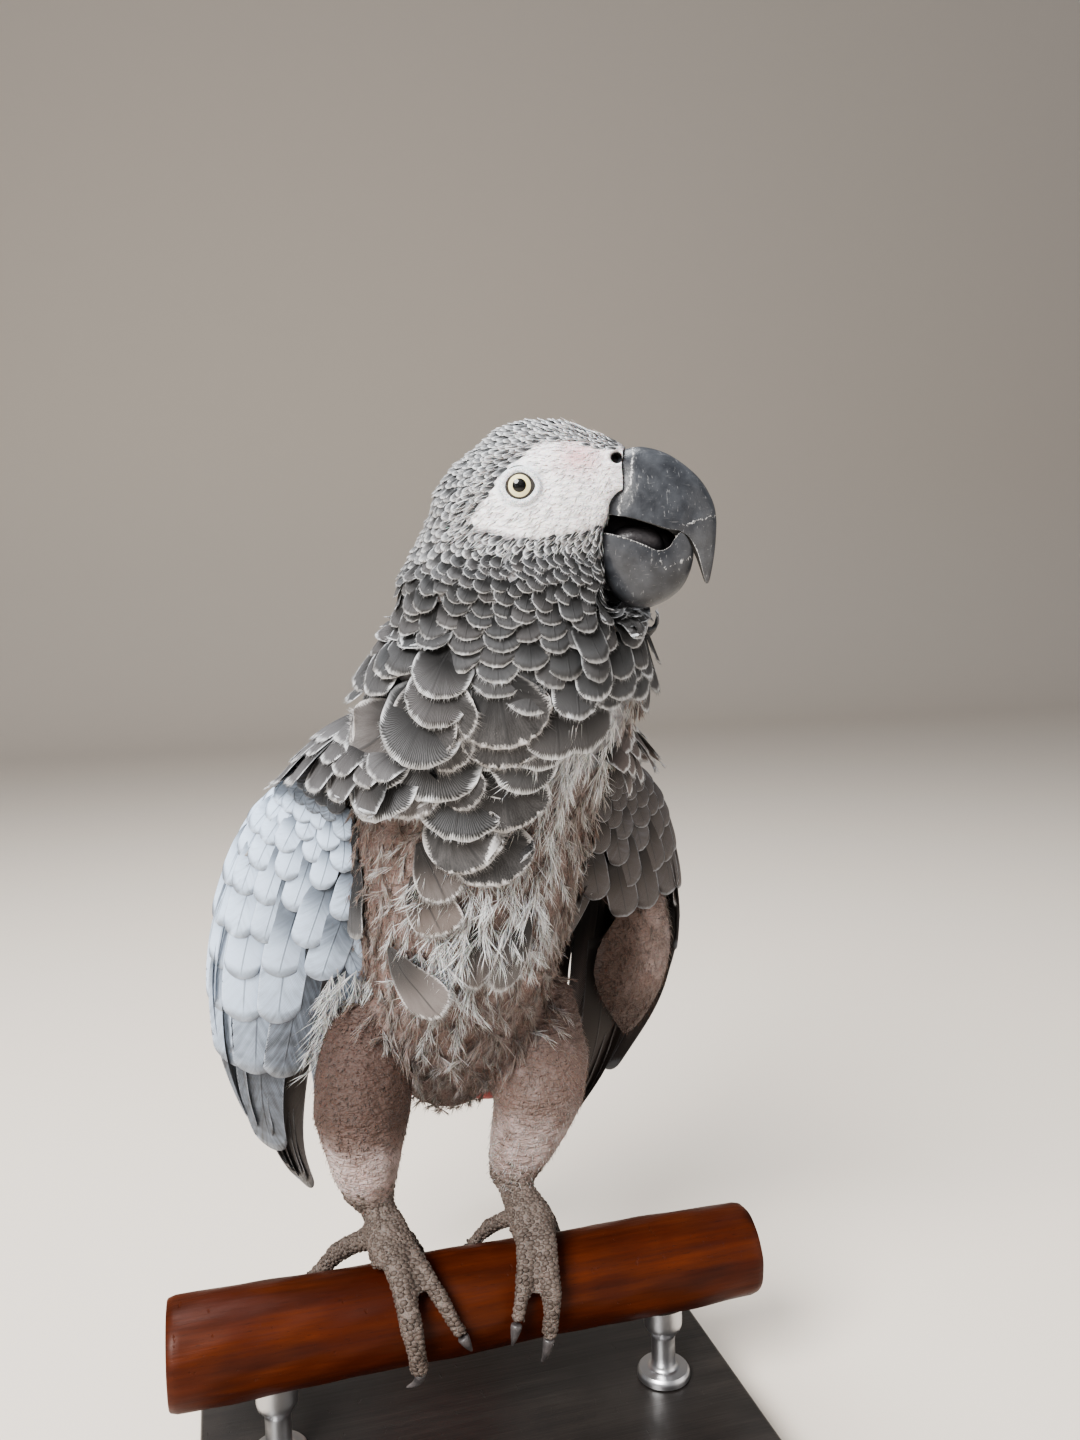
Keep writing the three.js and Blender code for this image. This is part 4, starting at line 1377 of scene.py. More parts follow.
    def build(self) -> Piece:
        """Joins everything into one piece with its UV maps and tones."""
        mesh = bpy.data.meshes.new(self.name)
        points = np.concatenate(self.points)
        loops = np.concatenate([f.ravel() for f in self.faces])
        sizes = np.concatenate([np.full(len(f), f.shape[1]) for f in self.faces])
        mesh.vertices.add(len(points))
        mesh.vertices.foreach_set("co", (points * MM).astype(np.float32).ravel())
        mesh.loops.add(len(loops))
        mesh.loops.foreach_set("vertex_index", loops.astype(np.int32))
        mesh.polygons.add(len(sizes))
        starts = np.concatenate([[0], np.cumsum(sizes)[:-1]])
        mesh.polygons.foreach_set("loop_start", starts.astype(np.int32))
        mesh.update(calc_edges=True)
        mesh.validate()
        piece = bpy.data.objects.new(self.name, mesh)
        bpy.context.scene.collection.objects.link(piece)
        map_corners(piece, "OFBake", np.concatenate(self.bake))
        map_corners(piece, "vane", np.concatenate(self.vane))
        paint(piece, "tone", np.concatenate(self.tone))
        shade_smooth(piece)
        LOG.info("%s: %d triangles", self.name, np.sum(sizes - 2))
        return piece


def tones(count: int, *parts: Array | float) -> Array:
    """The tone of each feather: its shade, its pale fringe's strength, its warmth and a chance value."""
    return np.stack([np.broadcast_to(part, count) for part in parts], 1)


def lengths(lines: Array) -> Array:
    """The length of each line."""
    return np.linalg.norm(np.diff(lines, axis=1), axis=2).sum(1)


def spaced(points: Array, ways: Sequence[Array], gaps: Sequence[Array], order: Array) -> Array:
    """Keeps places that lie far enough apart.

    Args:
        points: The candidates.
        ways: Three arrays with a direction for each candidate.
        gaps: Three arrays with the least distance along each direction.
        order: What to sort them by, so that rows pack closely.

    Returns:
        The numbers of the kept candidates.
    """
    kept, chosen = np.empty((len(points), 3)), []
    for i in np.argsort(order):
        away = kept[: len(chosen)] - points[i]
        near = sum(((away @ way[i]) / gap[i]) ** 2 for way, gap in zip(ways, gaps))
        if not chosen or near.min() > 1.0:
            kept[len(chosen)] = points[i]
            chosen.append(i)
    return np.array(chosen, int)


@dataclass
class Ground:
    """The skin as ground for a coat: places on it, the lie of the plumage, and lines that follow it."""

    skin: Skin
    head: HeadFrame
    spine: Spine

    def __post_init__(self) -> None:
        """Reads the skin's faces and their areas."""
        mesh = self.skin.piece.data
        mesh.calc_loop_triangles()
        self.triangles = points_of(self.skin.piece)[read(mesh.loop_triangles, "vertices", 3, np.int64)]
        first, second, third = (self.triangles[:, k] for k in range(3))
        edge = np.cross(second - first, third - first)
        area = np.linalg.norm(edge, axis=1) / 2
        self.chance = np.cumsum(area) / area.sum()
        self.normals = unit(edge)

    def throw(self, count: int, random: np.random.Generator) -> tuple[Array, Array]:
        """Random places on the skin, with their normals."""
        pick = np.searchsorted(self.chance, random.random(count))
        a, b = random.random((2, count, 1))
        flip = a + b > 1
        a, b = np.where(flip, 1 - a, a), np.where(flip, 1 - b, b)
        t = self.triangles[pick]
        return t[:, 0] * (1 - a - b) + t[:, 1] * a + t[:, 2] * b, self.normals[pick]

    def lie(self, points: Array) -> Array:
        """The way the plumage lies: back from the beak on the head, and down the neck and trunk."""
        at = self.head.into(points)
        from_beak = unit(points - self.head.out((30.0, 0.0, 6.0)))
        _, _, along = self.spine.locate(points)
        share = smooth_step(-34.0, -14.0, at[:, 2]) * smooth_step(70, 48, np.linalg.norm(at, axis=1))
        return unit(from_beak * share[:, None] - along * (1 - share[:, None]))

    def spread(self, places: tuple, order: Array, along: Array, across: Array) -> tuple[Array, Array, Array]:
        """Keeps places that lie far enough apart.

        Args:
            places: Candidates and their normals.
            order: What to sort them by, so that rows pack closely.
            along: The least distance along the lie.
            across: The least distance across it.

        Returns:
            The kept places, their normals and their numbers among the candidates.
        """
        points, normals = places
        lie = self.lie(points)
        lie = unit(lie - normals * dot(lie, normals))
        ways = (lie, np.cross(normals, lie), normals)
        chosen = spaced(points, ways, (along, across, across), order)
        return points[chosen], normals[chosen], chosen

    def follow(
        self, roots: Array, ahead: Array, length: Array, rows: int, steer: float = 0.5
    ) -> tuple[Array, Array]:
        """Lines over the skin from each root.

        Args:
            roots: Where the lines start.
            ahead: Their first directions.
            length: Their lengths.
            rows: Steps in each line.
            steer: How far a line bends with the skin, from 0 to 1.

        Returns:
            Points and normals, lines by steps by three.
        """
        lines = np.empty((len(roots), rows + 1, 3))
        normals = np.empty_like(lines)
        nearest = self.skin.tree.find_nearest
        for i, (root, way, reach) in enumerate(zip(roots, ahead, length)):
            place, normal, _, _ = nearest(Vector(root))
            way = Vector(way)
            way = (way - normal * way.dot(normal)).normalized()
            lines[i, 0], normals[i, 0] = place, normal
            for k in range(1, rows + 1):
                found, facing, _, _ = nearest(place + way * (reach / rows))
                normal = normal.lerp(facing, steer).normalized()
                place = found
                way = (way - normal * way.dot(normal)).normalized()
                lines[i, k], normals[i, k] = place, normal
        return lines, normals


def raised(lines: Array, normals: Array, length: Array, lift: Array, base: float, curl: float = 0) -> Array:
    """Lines raised off the skin, by `lift` of their length at the tip and `base` at the root."""
    share = np.linspace(0, 1, lines.shape[1])[None, :, None]
    height = base + (length * lift)[:, None, None] * share + (length * curl)[:, None, None] * share**3
    return lines + normals * height


def turned(directions: Array, normals: Array, angle: Array) -> Array:
    """Directions turned about the normals, by angles in radians."""
    side = np.cross(normals, directions)
    return directions * np.cos(angle)[:, None] + side * np.sin(angle)[:, None]


# ---------------------------------------------------------------- plumage of the head, neck and body


@dataclass
class Plumage:
    """Everything that grows on the skin."""

    ground: Ground
    most_fuzz: int = 17000

    def grow(
        self, coat: Coat, shape: Shape, roots: Array, ahead: Array, size: tuple[Array, Array], tone: Array,
        stand: tuple, rims: Sequence[tuple], steer: float = 0.5,
    ) -> None:
        """Adds feathers that follow the skin from their roots.

        Args:
            coat: The coat that gets them.
            shape: Their shape.
            roots: Where they start.
            ahead: Their first directions.
            size: Their lengths and widths.
            tone: Four numbers for each one.
            stand: Their lift at the tip as a share of the length, their height at the root and their curl.
            rims: Count, length and width of the loose barbs round each tip.
            steer: How far they bend with the skin, from 0 to 1.
        """
        length, width = size
        lines, lifted = self.ground.follow(roots, ahead, length, shape.rows, steer)
        lines = raised(lines, lifted, length, *stand)
        feathers = Feathers(lines, lifted, width, length, tone, self.spot(roots))
        coat.add_feathers(feathers, shape)
        for rim in rims:
            coat.add_rim(feathers, shape, *rim)

    def sizes(self, points: Array) -> tuple[Array, Array, Array]:
        """Width, row distance and length of the feathers at points of the head and neck."""
        up = self.ground.head.into(points)[:, 2]
        forward = self.ground.head.into(points)[:, 0]
        heights = np.array((-95, -75, -58, -47, -35, -27, -20, -12, 10, 24.0))
        widths = np.array((21, 20, 19, 16, 10.8, 7.0, 4.3, 2.7, 2.3, 2.2))
        rows = np.array((9, 8.0, 5.8, 4.3, 2.4, 1.8, 1.45, 1.35, 1.5, 1.5))
        nape = smooth_step(-6, -22, forward) * 0.35 + 1
        front = smooth_step(12, 24, forward) * -0.25 + 1
        width = np.interp(up, heights, widths) * nape * front
        row = np.interp(up, heights, rows) * nape * front
        return width, row, np.maximum(row * 2.6, width * 0.9)

    def head_and_neck(self) -> list[Piece]:
        """Scale-like feathers on the head that grow into a ruffled, fringed ruff on the neck."""
        ground, random = self.ground, np.random.default_rng(SEED)
        points, normals = ground.throw(150000, random)
        at = ground.head.into(points)
        run, _, _ = ground.spine.locate(points)
        owner = ground.skin.owners(points)
        face = ground.skin.face_mask(at)
        bare = (face > 0.45) & (owner == HEAD)
        mouth = (np.abs(at[:, 1]) < 8.8) & (at[:, 0] > 21.6) & (at[:, 2] > -25) & (at[:, 2] < -3)
        cere = (at[:, 0] > np.where(at[:, 2] > 8.6, 27.5, 24.5)) & (at[:, 2] > -10)
        breast = self.patch(points) > 0.5
        keep = (owner <= TRUNK) & ~bare & ~mouth & ~cere & ~breast & (run > 148)
        points, normals, at = points[keep], normals[keep], at[keep]
        width, row, length = self.sizes(points)
        thin = random.random(len(points)) < np.clip(46.0 / (width * row), 0.3, 1)
        points, normals, at = points[thin], normals[thin], at[thin]
        width, row, length = width[thin], row[thin], length[thin]
        order = np.linalg.norm(points - ground.head.out((30.0, 0, 6.0)), axis=1)
        order = order + random.normal(0, 0.25, len(points))
        roots, facing, chosen = ground.spread((points, normals), order, row * 0.98, width * 0.76)
        width, row, length, at = width[chosen], row[chosen], length[chosen], at[chosen]
        LOG.info("head and neck feathers: %d", len(roots))
        made = []
        up = at[:, 2]
        high, low = -16, -36
        groups = (
            ("head_scales", up > high, HEAD_SCALE, 0.17, ()),
            ("nape_feathers", (up <= high) & (up > low), NAPE, 0.2, [(22, 1.0, 0.15)]),
            ("ruff_feathers", up <= low, RUFF, 0.19, [(90, 1.6, 0.16)]),
        )
        for number, (name, chosen, shape, lift, rims) in enumerate(groups):
            coat = Coat(name, number)
            place, count = at[chosen], chosen.sum()
            throat = smooth_step(2, 14, place[:, 0]) * smooth_step(-20, -28, place[:, 2])
            size = length[chosen] * random.uniform(0.92, 1.1, count) * (1 + 0.45 * throat)
            lie = turned(ground.lie(roots[chosen]), facing[chosen], random.normal(0, 0.12, count))
            nape = smooth_step(-10, -24, place[:, 0]) * smooth_step(-14, -24, place[:, 2])
            near = np.exp(np.minimum(ground.skin.face_depth(place), 0) / 3.2)
            raise_by = lift * random.uniform(0.65, 1.45, count) * (1 + 0.5 * throat + nape - 0.68 * near)
            below = smooth_step(-10, -30, place[:, 2])
            crown = smooth_step(2, 18, place[:, 2])
            # Painted shade: throat feathers under the beak are darker, and their fringes duller below.
            shade = 0.55 - 0.38 * below + 0.4 * crown - 0.25 * throat + 0.4 * near
            shade = shade + random.normal(0, 0.08, count)
            pale = 0.9 - 0.25 * throat + random.normal(0, 0.12, count)
            warm = np.clip(random.normal(0.04, 0.05, count), 0, 1)
            tone = tones(count, np.clip(shade, 0, 1), np.clip(pale, 0.3, 1), warm, random.random(count))
            wide = width[chosen] * random.uniform(0.94, 1.12, count) * (1 - 0.3 * near)
            self.grow(coat, shape, roots[chosen], lie, (size, wide), tone, (raise_by, 0.12, 0.03), rims)
            made.append(coat.build())
        return made

    def spot(self, points: Array) -> Array:
        """Places on the unwrapped body: round the spine across, and up the spine and over the head."""
        run, turn, _ = self.ground.spine.locate(points)
        at = self.ground.head.into(points)
        over = np.clip(at[:, 2] + 30.0, 0, None) * 1.3 + np.clip(at[:, 0], -30, 30) * 0.25 * (at[:, 2] > -20)
        return np.stack([0.02 + 0.96 * (turn / TURN + 0.5), 0.02 + 0.94 * (run + over) / 330.0], 1)

    def patch(self, points: Array) -> Array:
        """Where the breast lost its outer feathers and shows down, from 0 to 1."""
        run, turn, _ = self.ground.spine.locate(points)
        turns, tops = (-110, -60, -22, 2, 14, 60, 110), (184, 188, 194, 203, 218, 221, 199)
        top = np.interp(np.degrees(turn), turns, tops)
        return smooth_step(3, -3, run - top) * smooth_step(2.05, 1.9, np.abs(turn))

    def back(self) -> Piece:
        """Full feathers over the mantle, back and rump."""
        ground, random = self.ground, np.random.default_rng(SEED + 5)
        points, normals = ground.throw(40000, random)
        run, turn, _ = ground.spine.locate(points)
        owner = ground.skin.owners(points)
        keep = (owner == TRUNK) & (np.abs(turn) > 1.85) & (run <= 158) & (run > 12)
        points, normals, run = points[keep], normals[keep], run[keep]
        width = np.interp(run, (0, 30, 80, 150), (9, 13, 15, 16.0))
        row = np.interp(run, (0, 30, 80, 150), (6, 8, 9, 9.0))
        roots, facing, chosen = ground.spread((points, normals), -run, row, width * 0.72)
        width, row, run = width[chosen], row[chosen], run[chosen]
        count = len(roots)
        shape = Shape(8, 12, 0.3, 0.5, 1.0, 0.8, 0.16, 0.2)
        length = row * 2.7 * random.uniform(0.9, 1.1, count)
        lie = turned(ground.lie(roots), facing, random.normal(0, 0.1, count))
        stand = (0.11 * random.uniform(0.7, 1.3, count), 0.12)
        tone = tones(count, 0.18 + 0.75 * smooth_step(75, 35, run), 0.75, 0.04, random.random(count))
        coat = Coat("back_feathers", 5)
        self.grow(coat, shape, roots, lie, (length, width), tone, stand, [(30, 1.3, 0.2)])
        return coat.build()

    def scapulars(self) -> Piece:
        """Slim dark feathers that cover the shoulders and bridge the body and the wings."""
        ground, random = self.ground, np.random.default_rng(SEED + 15)
        points, normals = ground.throw(60000, random)
        low = ground.spine.bird.into(points) - (2, 0, 0)
        out = np.sign(low[:, 0])
        upward = normals[:, 2] + 0.5 * normals[:, 1] + 0.4 * normals[:, 0] * out
        keep = (np.abs(low[:, 0]) > 13) & (low[:, 2] > 146) & (low[:, 1] > -15) & (upward > 0.15)
        keep &= (ground.skin.owners(points) > NECK) & (low[:, 2] < 190)
        points, normals, low, out = points[keep], normals[keep], low[keep], out[keep]
        count = len(points)
        order = -low[:, 2] + np.abs(low[:, 0])
        along, across = np.full(count, 6.0), np.full(count, 5.6)
        roots, facing, chosen = ground.spread((points, normals), order, along, across)
        low, out = low[chosen], out[chosen]
        count = len(roots)
        shape = Shape(9, 8, 0.45, 0.45, 0.95, 0.95, 0.18, 0.2)
        length, width = random.uniform(23, 30, count), random.uniform(9.0, 11.5, count)
        way = np.stack([0.5 * out, np.full(count, 0.35), np.full(count, -0.8)], 1)
        way = turned(unit(way), facing, random.normal(0, 0.14, count))
        stand = (0.10 * random.uniform(0.6, 1.3, count), 1.2)
        # Painted shade: the left scapulars are darker, as on the left wing, the side turned from the key
        # light; they are also browner.
        shade = np.clip(np.where(out > 0, 0.05, 0.3) + random.normal(0, 0.06, count), 0, 1)
        tone = tones(count, shade, 0.8, np.where(out > 0, 0.6, 0.1), random.random(count))
        coat = Coat("scapular_feathers", 15)
        self.grow(coat, shape, roots, way, (length, width), tone, stand, [(26, 1.1, 0.18)], 0.6)
        for side in (1, -1):
            for layer in range(3):
                self.cape(coat, side, layer)
        return coat.build()

    def cape(self, coat: Coat, side: int, layer: int) -> None:
        """Adds a row of broad feathers that bridge the neck's base and the top of one wing."""
        shape, random, count = Shape(10, 14, 0.4, 0.6, 1.0, 0.8, 0.14, 0.2, 0.02), coat.random, 9 + layer
        order = (np.arange(count) + 0.5 * (layer % 2) + 0.25) / count
        root, tip = curve_through(CAPE_ROOTS, order), curve_through(CAPE_TIPS, order)
        around = unit(np.gradient(root + tip, axis=0))
        normal = unit(np.cross(tip - root, around))
        normal = normal * np.sign(normal[:, 2:])
        start = np.array((0.42, 0.2, -0.04))[layer]
        reach = np.array((0.62, 0.62, 0.66))[layer] * random.uniform(0.93, 1.08, (count, 1))
        share = (start + reach * np.linspace(0, 1, shape.rows + 1)[None])[..., None]
        line = root[:, None] * (1 - share) + tip[:, None] * share
        rise = 4.5 * np.sin(np.clip(share, 0, 1) * math.pi) + 1.0 + 0.6 * layer
        rise = rise + random.uniform(-0.3, 0.5, (count, 1, 1))
        line = (line + normal[:, None] * rise) * (side, 1, 1) + (2, 0, 0)
        lifted = np.repeat((normal * (side, 1, 1))[:, None], shape.rows + 1, 1)
        line = self.ground.spine.bird.out(line)
        # Painted shade: the left cape is darker, the side turned from the key light; it is also browner.
        shade = np.clip((0.12 if side > 0 else 0.36) + random.normal(0, 0.05, count), 0, 1)
        tone = tones(count, shade, 0.8, 0.6 if side > 0 else 0.12, random.random(count))
        width = random.uniform(12, 15, count)
        feathers = Feathers(line, lifted, width, lengths(line), tone, self.spot(line[:, 0]))
        coat.add_feathers(feathers, shape)
        coat.add_rim(feathers, shape, 50, 1.4, 0.16)

    def fans(self) -> Piece:
        """The few large fan-shaped feathers that are left on the breast and the right shoulder."""
        ground, bird = self.ground, self.ground.spine.bird
        coat = Coat("fan_feathers", 6)
        for fan in FANS:
            found = ground.skin.tree.ray_cast(Vector(bird.out((fan.x, -160, fan.z))), Vector((0, 1, 0)))
            turn = np.array([math.radians(fan.turn)])
            down = turned(np.array([[0.0, -0.35, -1.0]]), np.array([[0.0, -1.0, 0.0]]), turn)
            shape = Shape(14, 36, 0.14, 0.9, 1.0, fan.round, 0.10, 0.2, 0.03)
            size, stand = np.array([[fan.length], [fan.width]]), (np.array([fan.lift]), fan.base, 0.02)
            tone = np.array([[fan.shade, 0.95, fan.warm, coat.random.random()]])
            rims = ((190, 1.9 + 1.6 * fan.warm, 0.15), (46, 3.2, 0.11))
            self.grow(coat, shape, np.array([found[0]]), down, size, tone, stand, rims, 0.35)
        return coat.build()

    def down(self) -> list[Piece]:
        """Fluffy tufts over the plucked breast, belly and flanks."""
        ground, random = self.ground, np.random.default_rng(SEED + 7)
        points, normals = ground.throw(70000, random)
        run, turn, _ = ground.spine.locate(points)
        owner = ground.skin.owners(points)
        keep = (owner <= TRUNK) & (self.patch(points) > 0.4) & (run > 24)
        points, normals, run, turn = points[keep], normals[keep], run[keep], turn[keep]
        low = ground.spine.bird.into(points)
        bright, size = np.full(len(points), 0.38), np.full(len(points), 8.0)
        for patch in DOWN_PATCHES:
            share = bump(low[:, 0], patch.x, patch.wide) * bump(low[:, 2], patch.z, patch.high)
            share = np.clip(share * (np.abs(turn) < 1.5) * 1.3, 0, 1)
            bright = bright + (patch.bright - bright) * share
            size = size + (patch.length - size) * share
        gap = np.interp(size, (8, 14, 20), (4.4, 3.7, 3.3))
        order = -run + random.normal(0, 4, len(run))
        roots, facing, chosen = ground.spread((points, normals), order, gap * 1.25, gap)
        turn, bright, size = turn[chosen], bright[chosen], size[chosen]
        bright = np.clip(bright + random.normal(0, 0.12, len(turn)), 0.05, 1.1)
        # Painted shade: down round the flanks is darker, and so browner by the next line.
        bright *= 1 - 0.6 * smooth_step(0.8, 1.4, np.abs(turn))
        warm = np.clip(0.95 - 0.95 * bright + random.normal(0, 0.08, len(turn)), 0, 1)
        size = size * random.uniform(0.75, 1.2, len(turn))
        made = []
        for number, chosen in enumerate((turn < 0.1, turn >= 0.1)):
            coat, count = Coat(("down_right", "down_left")[number], 8 + number), chosen.sum()
            lie = turned(ground.lie(roots[chosen]), facing[chosen], random.normal(0, 0.32, count))
            lines, lifted = ground.follow(roots[chosen], lie, size[chosen], 6, 0.35)
            lines = raised(lines, lifted, size[chosen], random.uniform(0.08, 0.26, count), 0.2, 0.03)
            tone = tones(len(bright), bright, 1, warm, random.random(len(bright)))[chosen]
            self.tufts(coat, lines, lifted, size[chosen], tone, self.spot(roots[chosen]))
            made.append(coat.build())
        return made

    @staticmethod
    def tufts(
        coat: Coat, lines: Array, lifted: Array, length: Array, tone: Array, spot: Array, barbs: int = 32
    ) -> None:
        """Adds one tuft of curved barbs along each line."""
        random, count, joints = coat.random, len(lines), lines.shape[1] - 1
        wave = np.cross(lifted, unit(np.gradient(lines, axis=1)))
        phase = random.uniform(0, 6.28, (count, 1, 1))
        share = np.linspace(0, 1, joints + 1)[None, :, None]
        lines = lines + wave * (np.sin(share * 5.0 + phase) - np.sin(phase)) * length[:, None, None] * 0.06
        pick = np.arange(count)
        for number in range(barbs):
            at = random.uniform(0.05, 0.95, count)
            index = np.minimum((at * joints).astype(int), joints - 1)
            start = sample(lines, at[:, None])[:, 0]
            ahead = unit(lines[pick, index + 1] - lines[pick, index])
            normal = lifted[pick, index]
            side = np.cross(normal, ahead) * (1 if number % 2 else -1)
            open_by = random.uniform(0.08, 0.75, (count, 1))
            way = unit(ahead + side * open_by + normal * random.normal(0.10, 0.14, (count, 1)))
            bend = ahead * random.uniform(0.05, 0.3, (count, 1))
            bend = bend - side * open_by * random.uniform(0.2, 0.8, (count, 1))
            bend = bend + random.normal(0, 0.13, (count, 3))
            size = length * random.uniform(0.3, 0.6, count) * (1.05 - 0.35 * at)
            shades = tone * (1, 1, 1, 0) + np.outer(random.random(count), (0, 0, 0, 1))
            width = random.uniform(0.18, 0.36, count)
            coat.add_strands(start, way, bend, size, width, shades, spot, 0.3, 3)

    def fuzz(self) -> Piece:
        """Short fine down that leaves the bare belly, flanks and thighs looking velvety."""
        ground = self.ground
        coat = Coat("skin_fuzz", 11)
        random = coat.random
        points, normals = ground.throw(90000, random)
        owner = ground.skin.owners(points)
        low = ground.spine.bird.into(points)
        _, turn, _ = ground.spine.locate(points)
        thigh = np.isin(owner, THIGHS) & (low[:, 2] > 26)
        belly = (owner == TRUNK) & (self.patch(points) > 0.3)
        arm = (owner >= WINGS) & ((low[:, 1] < 8) | on_lobe(low))
        keep = np.nonzero(thigh | belly | arm)[0][: self.most_fuzz]
        points, normals, thigh, arm, low = points[keep], normals[keep], thigh[keep], arm[keep], low[keep]
        count, right, high = len(points), low[:, 0] < 0, low[:, 2]
        lie = turned(ground.lie(points), normals, random.normal(0, 0.35, count))
        lie = unit(lie - normals * dot(lie, normals) + normals * random.uniform(0.1, 0.5, (count, 1)))
        # Painted shade: fuzz round the flanks, on top of the right thigh and on the arm's skin and lobe is
        # darkened; painted light lightens the lobe's upper outer part.
        side = smooth_step(0.8, 1.4, np.abs(turn[keep])) * ~thigh
        shade = np.where(thigh, np.where(right, -0.3, 0.56), 0.8 - 0.4 * side)
        sunlit = smooth_step(56, 72, low[:, 0]) * smooth_step(72, 104, high)
        shade = np.where(arm, -0.3 + 0.8 * sunlit, shade)
        shade = shade + thigh * 0.3 * smooth_step(62, 42, high)
        warm = np.where(thigh, 0.9 - 0.4 * smooth_step(70, 45, high), 0.72)
        tone = tones(count, shade, 1, warm, random.random(count))
        bend = -normals * 0.1 + random.normal(0, 0.12, (count, 3))
        length = random.uniform(2.0, 4.6, count) * np.where(thigh, np.where(right, 0.55, 0.75), 1.2)
        width = random.uniform(0.14, 0.24, count)
        coat.add_strands(points, lie, bend, length, width, tone, self.spot(points), 0.35, 2)
        return coat.build()

    def wing_down(self, form: WingForm) -> Piece:
        """White down that hangs from the right wing's inner edge below its coverts."""
        coat = Coat("wing_down", 14)
        random, count = coat.random, 46
        a = np.linspace(0, 1, 7)[None]
        start = random.uniform(0.34, 0.50, (count, 1))
        u = start + a * random.uniform(0.07, 0.12, (count, 1))
        v = random.uniform(-0.075, 0.06, (count, 1)) + a * random.normal(0.0, 0.02, (count, 1))
        line = form.lifted(u, v, 0.8 + 2.6 * a + random.uniform(-0.6, 0.8, (count, 1)))
        bright = random.uniform(0.7, 1.0, count)
        tone = tones(count, bright, 1, 0.9 - 0.9 * bright, random.random(count))
        spot = np.stack([0.1 + 0.8 * v[:, 0], 0.3 + 0.3 * u[:, 0]], 1)
        self.tufts(coat, line, form.outward(u, v), lengths(line), tone, spot, 26)
        return coat.build()

    def bristles(self) -> Piece:
        """Fine short filaments on the white face, the lores and the lids' edge."""
        ground = self.ground
        coat = Coat("face_bristles", 10)
        random = coat.random
        points, normals = ground.throw(90000, random)
        at = ground.head.into(points)
        owner = ground.skin.owners(points)
        eyes = np.minimum(*(np.linalg.norm(at - ground.head.eye(s), axis=1) for s in (1, -1)))
        mask = ground.skin.face_mask(at)
        keep = (owner == HEAD) & (ground.skin.face_depth(at) > -4.4) & (eyes > 7.2) & (at[:, 0] < 25.5)
        nose = np.minimum(*(np.linalg.norm(at - ground.head.nostril(s), axis=1) for s in (1, -1)))
        keep &= nose > 3.2
        points, normals, mask = points[keep], normals[keep], mask[keep]
        gap = np.full(len(points), 0.66)
        roots, facing, chosen = ground.spread((points, normals), random.random(len(points)), gap, gap)
        count, edge = len(roots), 1 - mask[chosen]
        lie = turned(ground.lie(roots), facing, random.normal(0, 0.25, count))
        lie = unit(lie - facing * dot(lie, facing) + facing * 0.22)
        front = smooth_step(8, 20, ground.head.into(roots)[:, 0])
        grey = random.random(count) < 0.28 + 0.2 * edge + 0.2 * front
        shade = np.where(grey, random.uniform(0.1, 0.6, count), 1.0)
        tone = tones(count, shade, 1, 0.12, random.random(count))
        bend = -facing * 0.12 + random.normal(0, 0.05, (count, 3))
        length = random.uniform(1.4, 2.8, count) * (1 + 0.8 * edge)
        roots = roots + facing * (0.35 * edge[:, None])
        wide = np.where(grey, 0.24, 0.19)
        coat.add_strands(roots, lie, bend, length, wide, tone, self.spot(roots), 0.4, 2)
        return coat.build()

    def foot_scales(self) -> Piece:
        """Small domed scales over the feet, in rings towards the claws."""
        ground = self.ground
        coat = Coat("foot_scales", 12)
        random = coat.random
        points, normals = ground.throw(160000, random)
        low = ground.spine.bird.into(points)
        keep = low[:, 2] < 33 + random.normal(0, 3.4, len(low))
        keep &= np.isin(ground.skin.owners(points), LEGS)
        points, normals, low = points[keep], normals[keep], low[keep]
        climb = smooth_step(19, 26, low[:, 2])[:, None]
        round_perch = unit(np.stack([np.zeros(len(low)), -low[:, 2], low[:, 1]], 1))
        round_perch = round_perch * np.sign(-low[:, 1:2] + 0.01)
        lie = unit(round_perch * (1 - climb) + np.array((0.0, -0.3, -1.0)) * climb)
        lie = unit(lie - normals * dot(lie, normals))
        upper = (np.sum(normals * unit(low * (0, 1, 1)), 1) > 0.45) & (low[:, 2] < 24)
        gap = np.where(upper, 1.45, 1.2)
        wide = np.where(upper, 1.9, 1.25)
        across = np.cross(normals, lie)
        order = np.abs(low[:, 1]) * 10 + random.normal(0, 0.8, len(low))
        chosen = spaced(low, (lie, across, normals), (gap, wide, np.full(len(low), 1.2)), order)
        roots, facing, side, ahead = points[chosen], normals[chosen], across[chosen], lie[chosen]
        gap, stretch, low = gap[chosen], (wide / gap)[chosen][:, None], low[chosen]
        sides, count = 8, len(chosen)
        size = gap[:, None] * 0.62 * random.uniform(0.9, 1.1, (count, 1))
        rings = [roots + facing * (size * 0.42 + 0.05)]
        for share, height in ((0.72, 0.30), (1.0, -0.16)):
            for angle in np.arange(sides) * TURN / sides:
                wobble = random.uniform(0.92, 1.08, (count, 1))
                out = (side * math.cos(angle) * stretch + ahead * math.sin(angle)) * size * share * wobble
                rings.append(roots + out + facing * size * height)
        rings.append(roots - facing * size * 0.3)
        first, second, last = 1, 1 + sides, 1 + 2 * sides
        around = [(k, (k + 1) % sides) for k in range(sides)]
        tris = [(0, first + k, first + n) for k, n in around]
        tris += [(last, second + n, second + k) for k, n in around]
        quads = [(first + k, second + k, second + n, first + n) for k, n in around]
        vane = np.array([(0.5, 0.5)] + [(0.5, 0.7)] * sides + [(0.5, 0.95)] * sides + [(0.5, 1.0)])
        tone = np.ones((count, 2 * sides + 2, 4))
        tone[:, second:, 1] = 0.0
        tone[..., 3] = random.random((count, 1))
        turn = np.arctan2(low[:, 1], low[:, 2]) / TURN + 0.5 + np.hypot(low[:, 1], low[:, 2]) / 900
